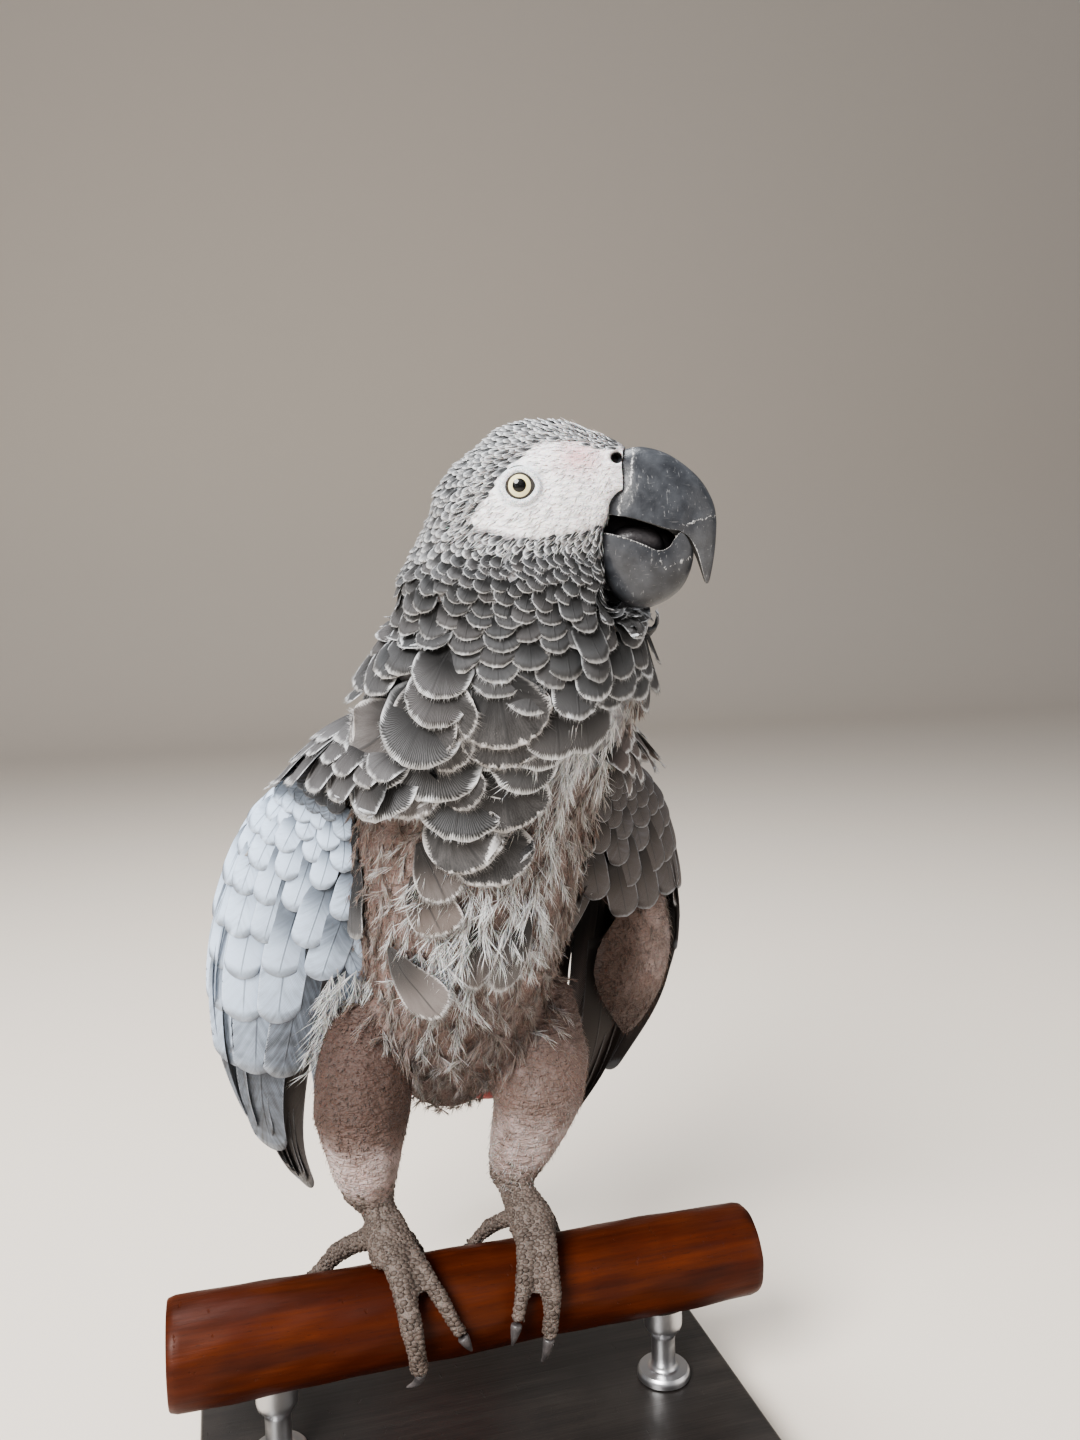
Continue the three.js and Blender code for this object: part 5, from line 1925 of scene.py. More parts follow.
        spot = np.stack([0.02 + 0.96 * (low[:, 0] + 70) / 130, np.clip(turn, 0.02, 0.98)], 1)
        coat.add(np.stack(rings, 1), (np.array(quads), np.array(tris)), vane, tone, spot)
        return coat.build()


CAPE_ROOTS = ((22, -48, 184), (23, -36, 192), (22, -18, 193), (20, 0, 190), (16, 16, 180))
CAPE_TIPS = ((37, -42, 168), (50, -26, 173), (58, -8, 172), (56, 10, 166), (42, 26, 158))


@dataclass(frozen=True)
class Fan:
    """One large feather: its root on the front of the body, its turn from straight down, and its size."""

    x: float
    z: float
    turn: float
    length: float
    width: float
    lift: float = 0.16
    base: float = 1.2
    shade: float = 0.22
    warm: float = 0.05
    round: float = 0.75


FANS = (
    Fan(-25, 189, -38, 23, 23, 0.22, 1.6, shade=0.40, warm=0.15),
    Fan(-22, 196, -56, 26, 22, 0.2, 2.4, shade=0.45, warm=0.2),
    Fan(-19, 205, -30, 21, 19, 0.22, 2.0, shade=0.25),
    Fan(-20, 207, 6, 21, 18, shade=0.25),
    Fan(-5, 206, -2, 21, 25, shade=0.2),
    Fan(-22, 198, 8, 20, 20, shade=0.25),
    Fan(-3.5, 200, -2, 21, 24, shade=0.18),
    Fan(-18, 185, 10, 18, 16, lift=0.18, base=1.8, shade=0.25),
    Fan(-2, 183, 1, 23, 24, lift=0.16, base=2.0, shade=0.16),
    Fan(-16, 172, 9, 23, 24, lift=0.2, base=2.2, shade=0.22),
    Fan(-3, 167, 0, 23, 24, lift=0.16, base=1.6, shade=0.18),
    Fan(-20, 157, 6, 18, 14, lift=0.14, shade=0.3, warm=0.35),
    Fan(-21, 147, 5, 19, 17, lift=0.14, shade=0.35, warm=0.6, round=0.5),
    Fan(-25, 124, 9, 24, 18, lift=0.18, base=3.0, shade=0.8, warm=0.5),
    Fan(-4, 131, -4, 22, 9, lift=0.10, base=1.6, shade=0.4, warm=0.4, round=1.8),
    Fan(11.5, 135, -1, 27, 11, lift=0.14, base=2.2, shade=0.4, warm=0.3, round=1.5),
)


@dataclass(frozen=True)
class DownPatch:
    """One patch of longer down on the front of the body, by its middle, reach, brightness and length."""

    x: float
    z: float
    wide: float
    high: float
    bright: float
    length: float


DOWN_PATCHES = (
    DownPatch(22, 120, 15, 34, 0.28, 9),
    DownPatch(-6, 92, 20, 15, 0.42, 14),
    DownPatch(22, 168, 15, 11, 0.7, 16),
    DownPatch(18, 188, 14, 13, 1.2, 16),
    DownPatch(1, 143, 19, 15, 1.2, 19),
    DownPatch(-9, 124, 10, 15, 1.15, 18),
    DownPatch(11, 128, 9, 10, 1.0, 15),
)


# ---------------------------------------------------------------- wings and tail


@dataclass(frozen=True)
class Row:
    """One row of wing feathers, by shares of the wing's length and width."""

    count: int
    root: float
    tips: tuple[float, float]
    spread: tuple[float, float]
    tip_spread: tuple[float, float]
    width: float
    lift: float
    shade: float
    shape: Shape
    pale: float = 0.5
    warm: float = 0.0
    inset: float = 0.0


SMALL = Shape(6, 12, 0.6, 0.5, 0.98, 0.85, 0.14, 0.2, 0.02)
LARGE = Shape(11, 14, 0.62, 0.5, 0.96, 0.95, 0.10, 0.25, 0.015)
QUILL = Shape(20, 12, 0.7, 0.4, 0.74, 1.4, 0.06, 0.3, 0.01)
SLIM = Shape(10, 6, 0.5, 0.4, 0.8, 1.3, 0.10, 0.25, 0.02)


@dataclass
class Wing:
    """One folded wing's feathers, from the marginal coverts to the primaries."""

    form: WingForm
    side: str
    shade: float
    warm: float

    def rows(self) -> list[Row]:
        """The wing's rows, from the tip's long quills to the smallest coverts."""
        rows = [
            Row(8, 0.38, (0.99, 0.86), (0.05, 0.62), (0.14, 0.70), 14.0, -0.8, -0.2, QUILL, 0.25, 0.85, 0.34),
            Row(8, 0.34, (0.86, 0.60), (0.08, 0.97), (0.16, 0.93), 16.5, -1.4, 0.28, QUILL, 0.3, 0.1),
            Row(8, 0.27, (0.600, 0.50), (0.05, 0.97), (0.08, 0.95), 15.0, 0.2, 0.52, LARGE, 0.35),
            Row(8, 0.20, (0.475, 0.41), (0.04, 0.98), (0.05, 0.97), 13.6, 0.8, 0.74, LARGE, 0.35),
        ]
        tip, gap = 0.375, 0.066
        for k in range(9):
            dark = -0.75 * max(0.0, (k - 6) / 2)
            width, root = 5.4 + 17 * tip, tip - 0.06 - 0.2 * tip
            tips = (tip, tip - 0.015)
            count, shade = 9 + k // 2, 0.88 + dark
            rows.append(Row(count, root, tips, (0.0, 1.0), (0.02, 0.98), width, 1.2, shade, SMALL, 0.3))
            tip, gap = tip - gap, gap * 0.885
        return rows

    def build(self) -> list[Piece]:
        """Builds coverts, secondaries and primaries as three pieces."""
        names = ("primaries", "secondaries", "coverts")
        seed = 20 + 5 * self.form.sign
        coats = [Coat(f"wing_{self.side}_{name}_vanes", seed + k) for k, name in enumerate(names)]
        for number, row in enumerate(self.rows()):
            self.lay(coats[min(number, 2)], row, number)
        self.edge(coats[2])
        return [coat.build() for coat in coats]

    def lay(self, coat: Coat, row: Row, number: int) -> None:
        """Adds one row of feathers to a coat."""
        random, form = coat.random, self.form
        share = (np.arange(row.count) + 0.5 + (0.5 if number % 2 else 0.0)) / (row.count + 0.5)
        order = share[:, None]
        u0 = np.full_like(order, max(row.root, -0.08))
        u1 = (row.tips[0] + (row.tips[1] - row.tips[0]) * order) * random.uniform(0.975, 1.01, order.shape)
        v0 = row.spread[0] + (row.spread[1] - row.spread[0]) * order
        v1 = row.tip_spread[0] + (row.tip_spread[1] - row.tip_spread[0]) * order
        a = np.linspace(0, 1, row.shape.rows + 1)[None]
        u = np.minimum(u0 + (u1 - u0) * a, 1.0)
        v = v0 + (v1 - v0) * a + random.normal(0, 0.006, order.shape)
        height = row.lift + (1.3 + random.uniform(-0.4, 0.5, order.shape)) * a + 0.5 * (1 - order)
        line = form.lifted(u, v, height, row.inset)
        normal = form.outward(u, v, row.inset)
        aside = unit(np.cross(normal, unit(np.gradient(line, axis=1)))) * form.sign
        normal = unit(normal - aside * 0.13)
        width = row.width * random.uniform(0.94, 1.08, row.count)
        # Painted shade: the feathers at both ends of a row, at the wing's edges, are darkened.
        rim = smooth_step(0.82, 1.0, share) + smooth_step(0.12, 0.0, share)
        shade = np.clip(row.shade * self.shade - 0.25 * rim + random.normal(0, 0.05, row.count), 0, 1)
        warm = np.clip(self.warm + row.warm + random.normal(0, 0.03, row.count), 0, 1)
        tone = tones(row.count, shade, row.pale, warm, random.random(row.count))
        spot = np.stack([0.04 + 0.9 * v[:, 0], 0.04 + 0.06 * number + 0.2 * u[:, 0]], 1)
        plucked = form.sign > 0 and number > 0
        left = ~(plucked & (v[:, -1] < 0.46) & (u[:, -1] > 0.34))
        parts = (line, normal, width, lengths(line), tone, spot)
        coat.add_feathers(Feathers(*(part[left] for part in parts)), row.shape)

    def edge(self, coat: Coat) -> None:
        """Adds slim dark feathers that hang inwards from the leading edge, towards the body."""
        random, form = coat.random, self.form
        for layer in range(2):
            count = 13 - 2 * layer
            start = np.linspace(-0.02, 0.50 if form.sign < 0 else 0.20, count)[:, None] + 0.01 * layer
            a = np.linspace(0, 1, SLIM.rows + 1)[None]
            u = start + (0.13 + 0.08 * np.clip(start, 0, 1)) * a
            v = 0.06 - 0.03 * layer - (0.075 - 0.02 * layer) * a + random.normal(0, 0.006, (count, 1))
            line = form.lifted(u, v, -0.6 + 1.2 * a - 0.8 * layer + random.uniform(-0.4, 0.4, (count, 1)))
            normal = form.outward(u, np.maximum(v, 0))
            # Painted shade: the inner layer, deeper in the gap by the body, is darker; it is also browner.
            shade = np.clip((0.45 - 0.25 * layer) * self.shade + random.normal(0, 0.06, count), 0, 1)
            tone = tones(count, shade, 0.5, self.warm + 0.25 * layer, random.random(count))
            spot = np.stack([np.full(count, 0.03), 0.1 + 0.6 * start[:, 0]], 1)
            width = random.uniform(7, 9, count)
            coat.add_feathers(Feathers(line, normal, width, lengths(line), tone, spot), SLIM)


@dataclass
class Tail:
    """Twelve red tail feathers that fan out from one root under the rump."""

    bird: BirdFrame
    feathers: int = 12
    root: tuple = (0.0, 50.0, 78.0)
    droop: float = 42.0
    length: float = 81.0
    spread: float = 9.0
    width: float = 15.0
    vane: float = 14.5

    def build(self) -> Piece:
        """Builds the tail."""
        coat = Coat("tail_vanes", 40)
        shape = Shape(16, 10, 0.5, 0.45, 0.95, 0.9, 0.10, 0.3, 0.004)
        half = self.feathers / 2
        number = np.arange(self.feathers)
        out = (number + 0.5 - half) / half
        under = np.abs(number + 0.5 - half) - 0.5
        turn = np.radians(self.spread) * out
        a = np.linspace(0, 1, shape.rows + 1)[None]
        reach = a * (self.length * (1 - 0.05 * out**2))[:, None]
        across = (out * self.width)[:, None] + reach * np.sin(turn)[:, None]
        height = np.broadcast_to((-0.5 * under - 5.0 * out**2)[:, None], reach.shape)
        along = reach * np.cos(turn)[:, None]
        tilt = math.radians(-self.droop)
        back, up = math.cos(tilt), math.sin(tilt)
        line = np.stack([across, along * back - height * up, along * up + height * back], 2) + self.root
        lean = np.broadcast_to(10.0 * out[:, None] / 33, reach.shape)
        normal = unit(np.stack([lean, np.full(reach.shape, -up), np.full(reach.shape, back)], 2))
        count, random = self.feathers, coat.random
        tone = tones(count, random.uniform(0.3, 0.7, count), 0.25, 0, random.random(count))
        spot = np.stack([0.1 + 0.065 * number, np.full(count, 0.5)], 1)
        width, length = np.full(count, self.vane), np.full(count, self.length)
        coat.add_feathers(Feathers(self.bird.out(line), normal, width, length, tone, spot), shape)
        return coat.build()


# ---------------------------------------------------------------- beak, tongue, eyes, claws


@dataclass
class Beak:
    """Both mandibles and the tongue, by profiles in the head's frame, forward and up."""

    head: HeadFrame
    upper_top: tuple = (
        (23.0, 8.2), (28.5, 9.4), (33.4, 9.8), (39.3, 7.9), (44.6, 4.1), (48.5, -0.2), (51.0, -5.3),
        (51.7, -9.6), (51.4, -14.6), (50.6, -19.9), (49.4, -25.0), (48.8, -26.4),
    )
    upper_edge: tuple = (
        (22.0, -7.0), (25.6, -8.2), (29.4, -9.0), (34.4, -10.7), (38.6, -12.3), (41.6, -12.9), (44.0, -14.4),
        (45.3, -16.4), (46.4, -18.8), (47.3, -22.0), (48.1, -25.4), (48.5, -26.4),
    )
    upper_half: tuple = (8.6, 9.0, 9.2, 9.0, 8.3, 7.2, 6.0, 5.0, 3.9, 2.8, 1.4, 0.3)
    lower_top: tuple = (
        (22.0, -12.2), (24.6, -12.8), (28.5, -14.2), (32.4, -15.9), (36.0, -17.6),
        (38.8, -16.9), (40.6, -14.6), (42.2, -13.2), (43.6, -14.4), (44.6, -16.4),
    )
    lower_edge: tuple = (
        (22.2, -24.2), (24.6, -28.2), (28.2, -31.0), (32.4, -31.8), (36.6, -30.8),
        (40.2, -28.8), (42.8, -26.2), (44.6, -22.8), (45.4, -20.0), (45.6, -18.4),
    )
    lower_half: tuple = (8.6, 9.5, 9.9, 9.8, 9.3, 8.5, 7.6, 6.7, 5.8, 4.8)
    tongue: tuple = ((22, 0, -15.6), (27, 0, -14.2), (32, 0, -13.9), (36.4, 0, -15.1), (38.6, 0, -16.6))
    tongue_half: tuple = (5.0, 5.4, 5.2, 4.4, 2.4)
    mouth: tuple = (
        (20.5, -10.6, 4.0), (26.0, -11.8, 4.6), (32.0, -13.4, 4.4), (37.5, -14.6, 3.4), (41.5, -14.4, 1.6)
    )

    def shell(self, profile: tuple, along: Array, turn: Array, dome: float, hollow: float) -> Array:
        """Points of a mandible: a domed outer face, sharp side edges and a hollow inner face.

        Args:
            profile: The dome's line, the side edges' line and the half widths, from the root to the tip.
            along: Shares along the mandible.
            turn: Shares round it.
            dome: How full the dome is.
            hollow: How deep the inner face lies, as a share of the height.

        Returns:
            Points of the head's frame.
        """
        ends = 0.02
        share = np.clip((along - ends) / (1 - 2 * ends), 0, 1)
        high, low = curve_through(profile[0], share), curve_through(profile[1], share)
        wide = curve_through([(h,) for h in profile[2]], share)[:, 0]
        angle = turn * TURN
        x = np.cos(angle)
        x = np.sign(x) * (1 - (1 - np.abs(x)) ** 1.25)
        rise = (1 - np.abs(x) ** dome) ** (1 / 1.85)
        sink = (1 - x**2) * hollow * np.sin(share * math.pi) ** 0.35
        level = np.where(np.sin(angle) >= 0, rise, np.minimum(sink, rise * 0.8))
        closed = (along < 1e-4) | (along > 1 - 1e-4)
        middle = low + (high - low) * np.where(closed, 0.5, level)[:, None]
        return np.stack([middle[:, 0], x * wide * ~closed, middle[:, 1]], 1)

    def mandible(self, name: str, rings: int, place: Callable) -> tuple[Piece, Array, Array]:
        """A mandible, with the shares along and the height round (negative inside) of its points."""
        around = 150
        piece = ball_form(name, around, rings, lambda along, turn: self.head.out(place(along, turn)))
        along, turn = ball_shares(around, rings)
        return piece, along, np.sin(turn * TURN)

    def upper(self) -> Piece:
        """The hooked upper mandible."""

        def place(along: Array, turn: Array) -> Array:
            """Adds a faint ridge down the middle and growth waves across."""
            profile = (self.upper_top, self.upper_edge, self.upper_half)
            at = self.shell(profile, along, turn, 2.1, 0.14)
            at[:, 0] += bump(at[:, 1], 0, 2.2) * (np.sin(turn * TURN) > 0.4) * 0.25
            at[:, 1] *= 1 + np.sin(along * 46 + np.sin(at[:, 1] * 0.9) * 1.4) * 0.006
            return at

        piece, along, height = self.mandible("upper_mandible", 190, place)
        forward, side, up = self.head.into(points_of(piece)).T
        outer = height >= -0.02
        rough = np.sin(side * 2.3 + up * 1.9) * 0.5 + np.sin(forward * 3.1 - up * 2.7) * 0.4
        rough += 0.3 * np.sin(up * 6.1 + side * 4.3)
        junction = np.interp(up, (-9.0, -5.7, -3.0, -0.7, 2.9, 7.7), (26.4, 26.9, 28.0, 29.9, 30.4, 31.2))
        rim = bump(forward, junction + 0.3 * rough, 0.45) * (up > -8.5)
        spur = bump(forward, 31.2 + 0.5 * (up + 2) + 0.5 * rough, 0.28)
        rim = np.maximum(rim, spur * smooth_step(-7, -5.5, up) * smooth_step(0.5, -1, up) * 0.8)
        front = bump(side, 0.9 + 0.3 * rough, 0.3) * smooth_step(38, 44, forward) * (up > -10)
        band = bump(up, -9.6 - 0.28 * (50 - forward) - 0.4 * rough, 0.3) * smooth_step(40, 43, forward)
        rise = np.abs(height)
        tomium = smooth_step(0.07, 0.01, rise) * smooth_step(0.2, 0.35, along)
        inner = smooth_step(0.16, 0.05, rise) * smooth_step(-14, -17, up)
        edge = np.clip(np.maximum.reduce([rim, front * 0.9, band, tomium * 0.8, inner]), 0, 1) * outer
        dust = np.clip(smooth_step(-10, -16, up) * 0.15 + rim * 0.5, 0, 1)
        # The second number marks the inner face, which gets painted shade.
        paint(piece, "flakes", tones(len(up), edge, 1.0 - outer, dust, 0))
        return piece

    def lower(self) -> Piece:
        """The scoop-shaped lower mandible."""

        def place(along: Array, turn: Array) -> Array:
            """Hangs the dome from the side edges."""
            profile = (self.lower_edge, self.lower_top, self.lower_half)
            return self.shell(profile, along, turn, 2.3, 0.3)

        piece, _, height = self.mandible("lower_mandible", 150, place)
        forward, side, up = self.head.into(points_of(piece)).T
        outer = height >= -0.02
        rough = np.sin(side * 2.9 + up * 2.3) * 0.5 + np.sin(forward * 3.9 - up * 2.7) * 0.4
        lip = smooth_step(0.12, 0.03, np.abs(height))
        crack = bump(up, -21.4 + 0.36 * (forward - 40) - 0.6 * rough, 0.26) * smooth_step(35, 37.5, forward)
        drop = bump(forward, 36.6 - 0.35 * (up + 20) - 0.5 * rough, 0.24) * smooth_step(-24, -21.5, up)
        edge = np.clip(np.maximum.reduce([lip * 0.85, crack * 0.9, drop * 0.9]), 0, 1) * outer
        # The second number marks the inner face, which gets painted shade.
        paint(piece, "flakes", tones(len(up), edge, 1.0 - outer, smooth_step(-27, -31, up) * 0.15, 0))
        return piece

    def tongue_piece(self) -> Piece:
        """The thick round tongue."""

        def place(along: Array, turn: Array) -> Array:
            """A round bar, blunt at both ends, with a groove along its top."""
            middle = curve_through(self.tongue, along)
            wide = curve_through([(h,) for h in self.tongue_half], along)[:, 0]
            wide = wide * np.sqrt(np.clip(1 - np.abs(2 * along - 1) ** 4, 0, 1))
            angle = turn * TURN
            groove = 0.5 * bump(np.cos(angle), 0, 0.25) * (np.sin(angle) > 0)
            middle[:, 1] += np.cos(angle) * wide
            middle[:, 2] += np.sin(angle) * (wide * 0.78 - groove)
            return self.head.out(middle)

        return ball_form("tongue_flesh", 40, 36, place)

    def lining(self) -> Piece:
        """The back of the mouth, behind the tongue, near black: dark flesh with painted shade."""

        def place(along: Array, turn: Array) -> Array:
            """A narrow bar along the mouth's middle, whose knots give its height as well."""
            at = curve_through(self.mouth, along)
            tall = at[:, 2] * np.sqrt(np.clip(1 - np.abs(2 * along - 1) ** 6, 0, 1))
            x, y = np.cos(turn * TURN) * tall, np.sin(turn * TURN) * tall
            return self.head.out(np.stack([at[:, 0], x * 0.6, at[:, 1] + y], 1))

        return ball_form("mouth_lining", 32, 30, place)


@dataclass
class Eye:
    """One eyeball with a bulging cornea."""

    head: HeadFrame
    side: str
    sign: int
    radius: float = 6.0
    cornea: float = 3.5

    def build(self) -> Piece:
        """Builds the eyeball, with its gaze stored as the distance from the pupil's middle."""
        middle = self.head.eye(self.sign)

        def place(along: Array, turn: Array) -> Array:
            """A ball whose pole looks out of the head, with the cornea's bulge."""
            polar, angle = along * math.pi, turn * TURN
            out = self.radius * np.sin(polar)
            bulge = 0.55 * np.clip(1 - (out / self.cornea) ** 2, 0, 1) * (polar < math.pi / 2)
            ahead = (self.radius * np.cos(polar) + bulge - 0.12) * self.sign
            return self.head.out(middle + np.stack([out * np.cos(angle), ahead, out * np.sin(angle)], 1))

        piece = ball_form(f"eyeball_{self.side}", 64, 60, place)
        at = self.head.into(points_of(piece)) - middle
        spread = np.hypot(at[:, 0], at[:, 2]) / self.radius
        spread = np.where(at[:, 1] * self.sign > 0, spread, 1.0)
        turn = np.arctan2(at[:, 2], at[:, 0]) / TURN + 0.5
        paint(piece, "gaze", tones(len(turn), spread, turn, 0, 0))
        return piece


def claw(name: str) -> Piece:
    """A claw, smoothed from its solid."""
    copy = welded_copy(name, f"{name}_horn")
    apply_modifier(copy, "SUBSURF", levels=2, render_levels=2)
    low = points_of(copy)[:, 2]
    tip = smooth_step(low.min() + 3, low.min(), low)
    paint(copy, "flakes", tones(len(tip), tip * 0.35, 0, 0.25, 0))
    shade_smooth(copy)
    return copy


# ---------------------------------------------------------------- perch, stand and studio


@dataclass
class Perch:
    """The cut length of round branch."""

    around: int = 96
    rings: int = 120
    cap: float = 0.09

    def build(self) -> Piece:
        """Builds the branch with eased, saw-cut ends and a few shallow dents."""
        low, high = box_of("perch")
        middle, radius, half = (low + high) / 2, (high[2] - low[2]) / 2, (high[0] - low[0]) / 2

        def place(along: Array, turn: Array) -> Array:
            """A swelling, dented cylinder between two flat caps."""
            ride = np.clip((along - self.cap) / (1 - 2 * self.cap), 0, 1)
            x = -half + 2 * half * ride
            face = np.clip(np.minimum(along, 1 - along) / self.cap, 0, 1)
            angle = turn * TURN
            swell = 0.25 * np.sin(ride * 17) - 0.5 * (ride - 0.5) * 2 - 0.35
            dent = 0.16 * np.sin(angle * 3 + ride * 9) + 0.10 * np.sin(angle * 7 - ride * 31)
            dent += 0.08 * np.sin(angle * 11 + ride * 57)
            size = (radius + swell + dent * face) * np.where(face < 1, face**0.75, 1.0)
            size -= np.clip(1 - half + np.abs(x), 0, 1) * 0.8 * (face >= 1)
            x = x + np.sign(x) * -0.5 * (face >= 0.97) * (face < 1)
            return middle + np.stack([x, size * np.cos(angle), size * np.sin(angle)], 1)

        piece = ball_form("perch_branch", self.around, self.rings, place)
        shade_smooth(piece, 40)
        return piece


@dataclass
class Stand:
    """The display stand's base and rods."""

    corner: float = 20.0
    bevel: float = 1.6
    cup: float = 6.5
    gap: float = 0.25
    profile: tuple = (
        (0, 0), (9, 0), (9, 2), (8.2, 3), (4.9, 3.1), (4.1, 4.2),
        (4, 12.5), (4.2, 15), (6.2, 17.6), (6.5, 19),
    )

    def base(self) -> Piece:
        """The flat base, from a block with rounded corners and eased edges."""
        low, high = box_of("stand_base")
        deselect()
        bpy.ops.mesh.primitive_cube_add(size=1.0)
        piece = bpy.context.object
        piece.name = piece.data.name = "stand_plinth"
        place_points(piece, low + (points_of(piece) * MM + 0.5) * (high - low))
        heights = points_of(piece)[:, 2][read(piece.data.edges, "vertices", 2, np.int64)]
        upright = heights[:, 0] != heights[:, 1]
        edit(piece, "EDGE", upright, bpy.ops.mesh.bevel, offset=self.corner * MM, segments=14)
        ease = {"width": self.bevel * MM, "segments": 4, "limit_method": "ANGLE", "angle_limit": 0.8}
        apply_modifier(piece, "BEVEL", **ease)
        shade_smooth(piece, 35)
        return piece

    def rod(self, side: str) -> Piece:
        """One rod with its foot and cup."""
        low, high = box_of(f"stand_rod_{side}")
        middle, tall = (low + high) / 2, high[2] - low[2]
        knots = np.array((*self.profile, (self.cup, tall), (0, tall)), float)
        run = np.concatenate([[0], np.cumsum(np.linalg.norm(np.diff(knots, axis=0), axis=1))])
        seat_low, seat_high = box_of("perch")
        axis = (seat_low + seat_high) / 2
        reach = (seat_high[2] - seat_low[2]) / 2 + self.gap

        def place(along: Array, turn: Array) -> Array:
            """Turns the profile and cuts its top to the perch's underside."""
            at = along * run[-1]
            size, height = np.interp(at, run, knots[:, 0]), np.interp(at, run, knots[:, 1])
            angle = turn * TURN
            x, y = middle[0] + size * np.cos(angle), middle[1] + size * np.sin(angle)
            under = axis[2] - np.sqrt(np.maximum(reach**2 - (y - axis[1]) ** 2, 0))
            return np.stack([x, y, np.minimum(low[2] + height, under)], 1)

        piece = ball_form(f"stand_post_{side}", 48, 60, place)
        shade_smooth(piece, 35)
        return piece


@dataclass
class Studio:
    """Floor, backdrop, lights and camera."""

    bird: BirdFrame
    eye: tuple = (-71.4, -343.5, 213.45)
    turn: float = -15.8
    dip: float = 4.4
    roll: float = 1.4
    lens: float = 28.25

    def floor(self) -> None:
        """A pale floor that rises into a backdrop far behind the bird."""
        deselect()
        bpy.ops.mesh.primitive_grid_add(x_subdivisions=40, y_subdivisions=60, size=2.0)
        piece = bpy.context.object
        piece.name = piece.data.name = "studio_floor"
        at = points_of(piece) * MM
        run = (at[:, 1] + 1) / 2 * 9000 - 3200
        rise = np.clip(run - 2600, 0, None)
        bend = 900.0
        angle = np.clip(rise / bend, 0, math.pi / 2)
        y = np.minimum(run, 2600) + bend * np.sin(angle)
        z = bend * (1 - np.cos(angle)) + np.clip(rise - bend * math.pi / 2, 0, None)
        place_points(piece, np.stack([at[:, 0] * 5000, y, z], 1))
        shade_smooth(piece)
        piece.data.materials.append(FloorFinish().make())
        piece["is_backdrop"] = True

    def light(self, name: str, place: tuple, aim: tuple, size: float, power: float, tint: Tint) -> None:
        """Adds one soft area light, aimed at a point of the bird."""
        data = bpy.data.lights.new(name, "AREA")
        data.shape = "DISK"
        data.size = size
        data.energy = power
        data.color = tint
        lamp = bpy.data.objects.new(name, data)
        bpy.context.scene.collection.objects.link(lamp)
        start, end = (Vector(p) * MM for p in (place, aim))
        lamp.location = start
        lamp.rotation_euler = (end - start).to_track_quat("-Z", "Y").to_euler()

    def lights(self) -> None:
        """A large soft key from the upper left, a weak fill from the right, and an even pale world."""
        world = bpy.data.worlds.new("pale room")
        world.use_nodes = True
        world.node_tree.nodes["Background"].inputs["Color"].default_value = (0.93, 0.95, 1.0, 1.0)
        world.node_tree.nodes["Background"].inputs["Strength"].default_value = 0.30
        bpy.context.scene.world = world
        bpy.context.scene.view_settings.look = "AgX - Medium High Contrast"
        self.light("key", (-900, -900, 1150), (0, -20, 200), 0.8, 54.0, (1.0, 0.985, 0.96))
        self.light("fill", (1100, -800, 500), (0, -20, 200), 1.2, 5.0, (1.0, 0.96, 0.92))
        self.light("top", (-150, 350, 1400), (0, 0, 220), 0.8, 16.0, (0.96, 0.98, 1.0))

    def camera(self) -> None:
        """The camera at the bird's breast height, in front and to its right."""
        data = bpy.data.cameras.new("camera")
        data.lens = self.lens
        data.sensor_fit = "VERTICAL"
        data.sensor_height = 36.0
        data.sensor_width = 36.0
        camera = bpy.data.objects.new("camera", data)
        bpy.context.scene.collection.objects.link(camera)
        turn, dip, roll = (math.radians(a) for a in (self.turn, self.dip, self.roll))
        ahead = Vector((-math.sin(turn) * math.cos(dip), math.cos(turn) * math.cos(dip), -math.sin(dip)))
        right = Vector((math.cos(turn), math.sin(turn), 0.0))
        above = right.cross(ahead)
        tilted = right * math.cos(roll) - above * math.sin(roll)
        upright = above * math.cos(roll) + right * math.sin(roll)
        matrix = camera.matrix_world
        for column, axis in enumerate((tilted, upright, -ahead)):
            for row in range(3):
                matrix[row][column] = axis[row]
        matrix.translation = Vector(self.bird.out(self.eye)) * MM
        camera.matrix_world = matrix
        bpy.context.scene.camera = camera


# ---------------------------------------------------------------- the model


SLATE_DARK, SLATE_LIGHT, SILVER = (0.016, 0.017, 0.019), (0.11, 0.113, 0.121), (0.74, 0.76, 0.79)
BROWN, SHAFT = (0.15, 0.11, 0.095), (0.03, 0.03, 0.032)
SCALE = FeatherFinish(
    "head scale feathers", SLATE_DARK, (0.19, 0.195, 0.205), SILVER, BROWN, SHAFT, (0.36, 0.24),
    lines=45.0, aspect=0.4, barbs=0.12, line=0.15, painted_root_shade=(0.85, 0.35),
)
SLATE = FeatherFinish(
    "ruff feathers", SLATE_DARK, SLATE_LIGHT, SILVER, BROWN, SHAFT, (0.16, 0.085),
    lines=190.0, barbs=0.10, line=0.2, wild=6.0, painted_root_shade=(0.92, 0.4),
)
FAN = FeatherFinish(
    "fan feathers", SLATE_DARK, (0.17, 0.17, 0.175), (0.52, 0.51, 0.51), (0.17, 0.135, 0.12), SHAFT,
    (0.10, 0.06), lines=190.0, focus=-0.02, aspect=0.45, barbs=0.05, line=0.6, wild=16.0, painted_root_shade=(0.85, 0.25),
    streak=9.0,
)
COVERT = FeatherFinish(
    "covert feathers", (0.035, 0.037, 0.042), (0.54, 0.66, 0.84), (0.74, 0.80, 0.90), (0.050, 0.035, 0.027),
    (0.05, 0.053, 0.06), (0.09, 0.05),
    lines=300.0, focus=None, aspect=0.34, roughness=0.58, barbs=0.10, line=0.4,
)
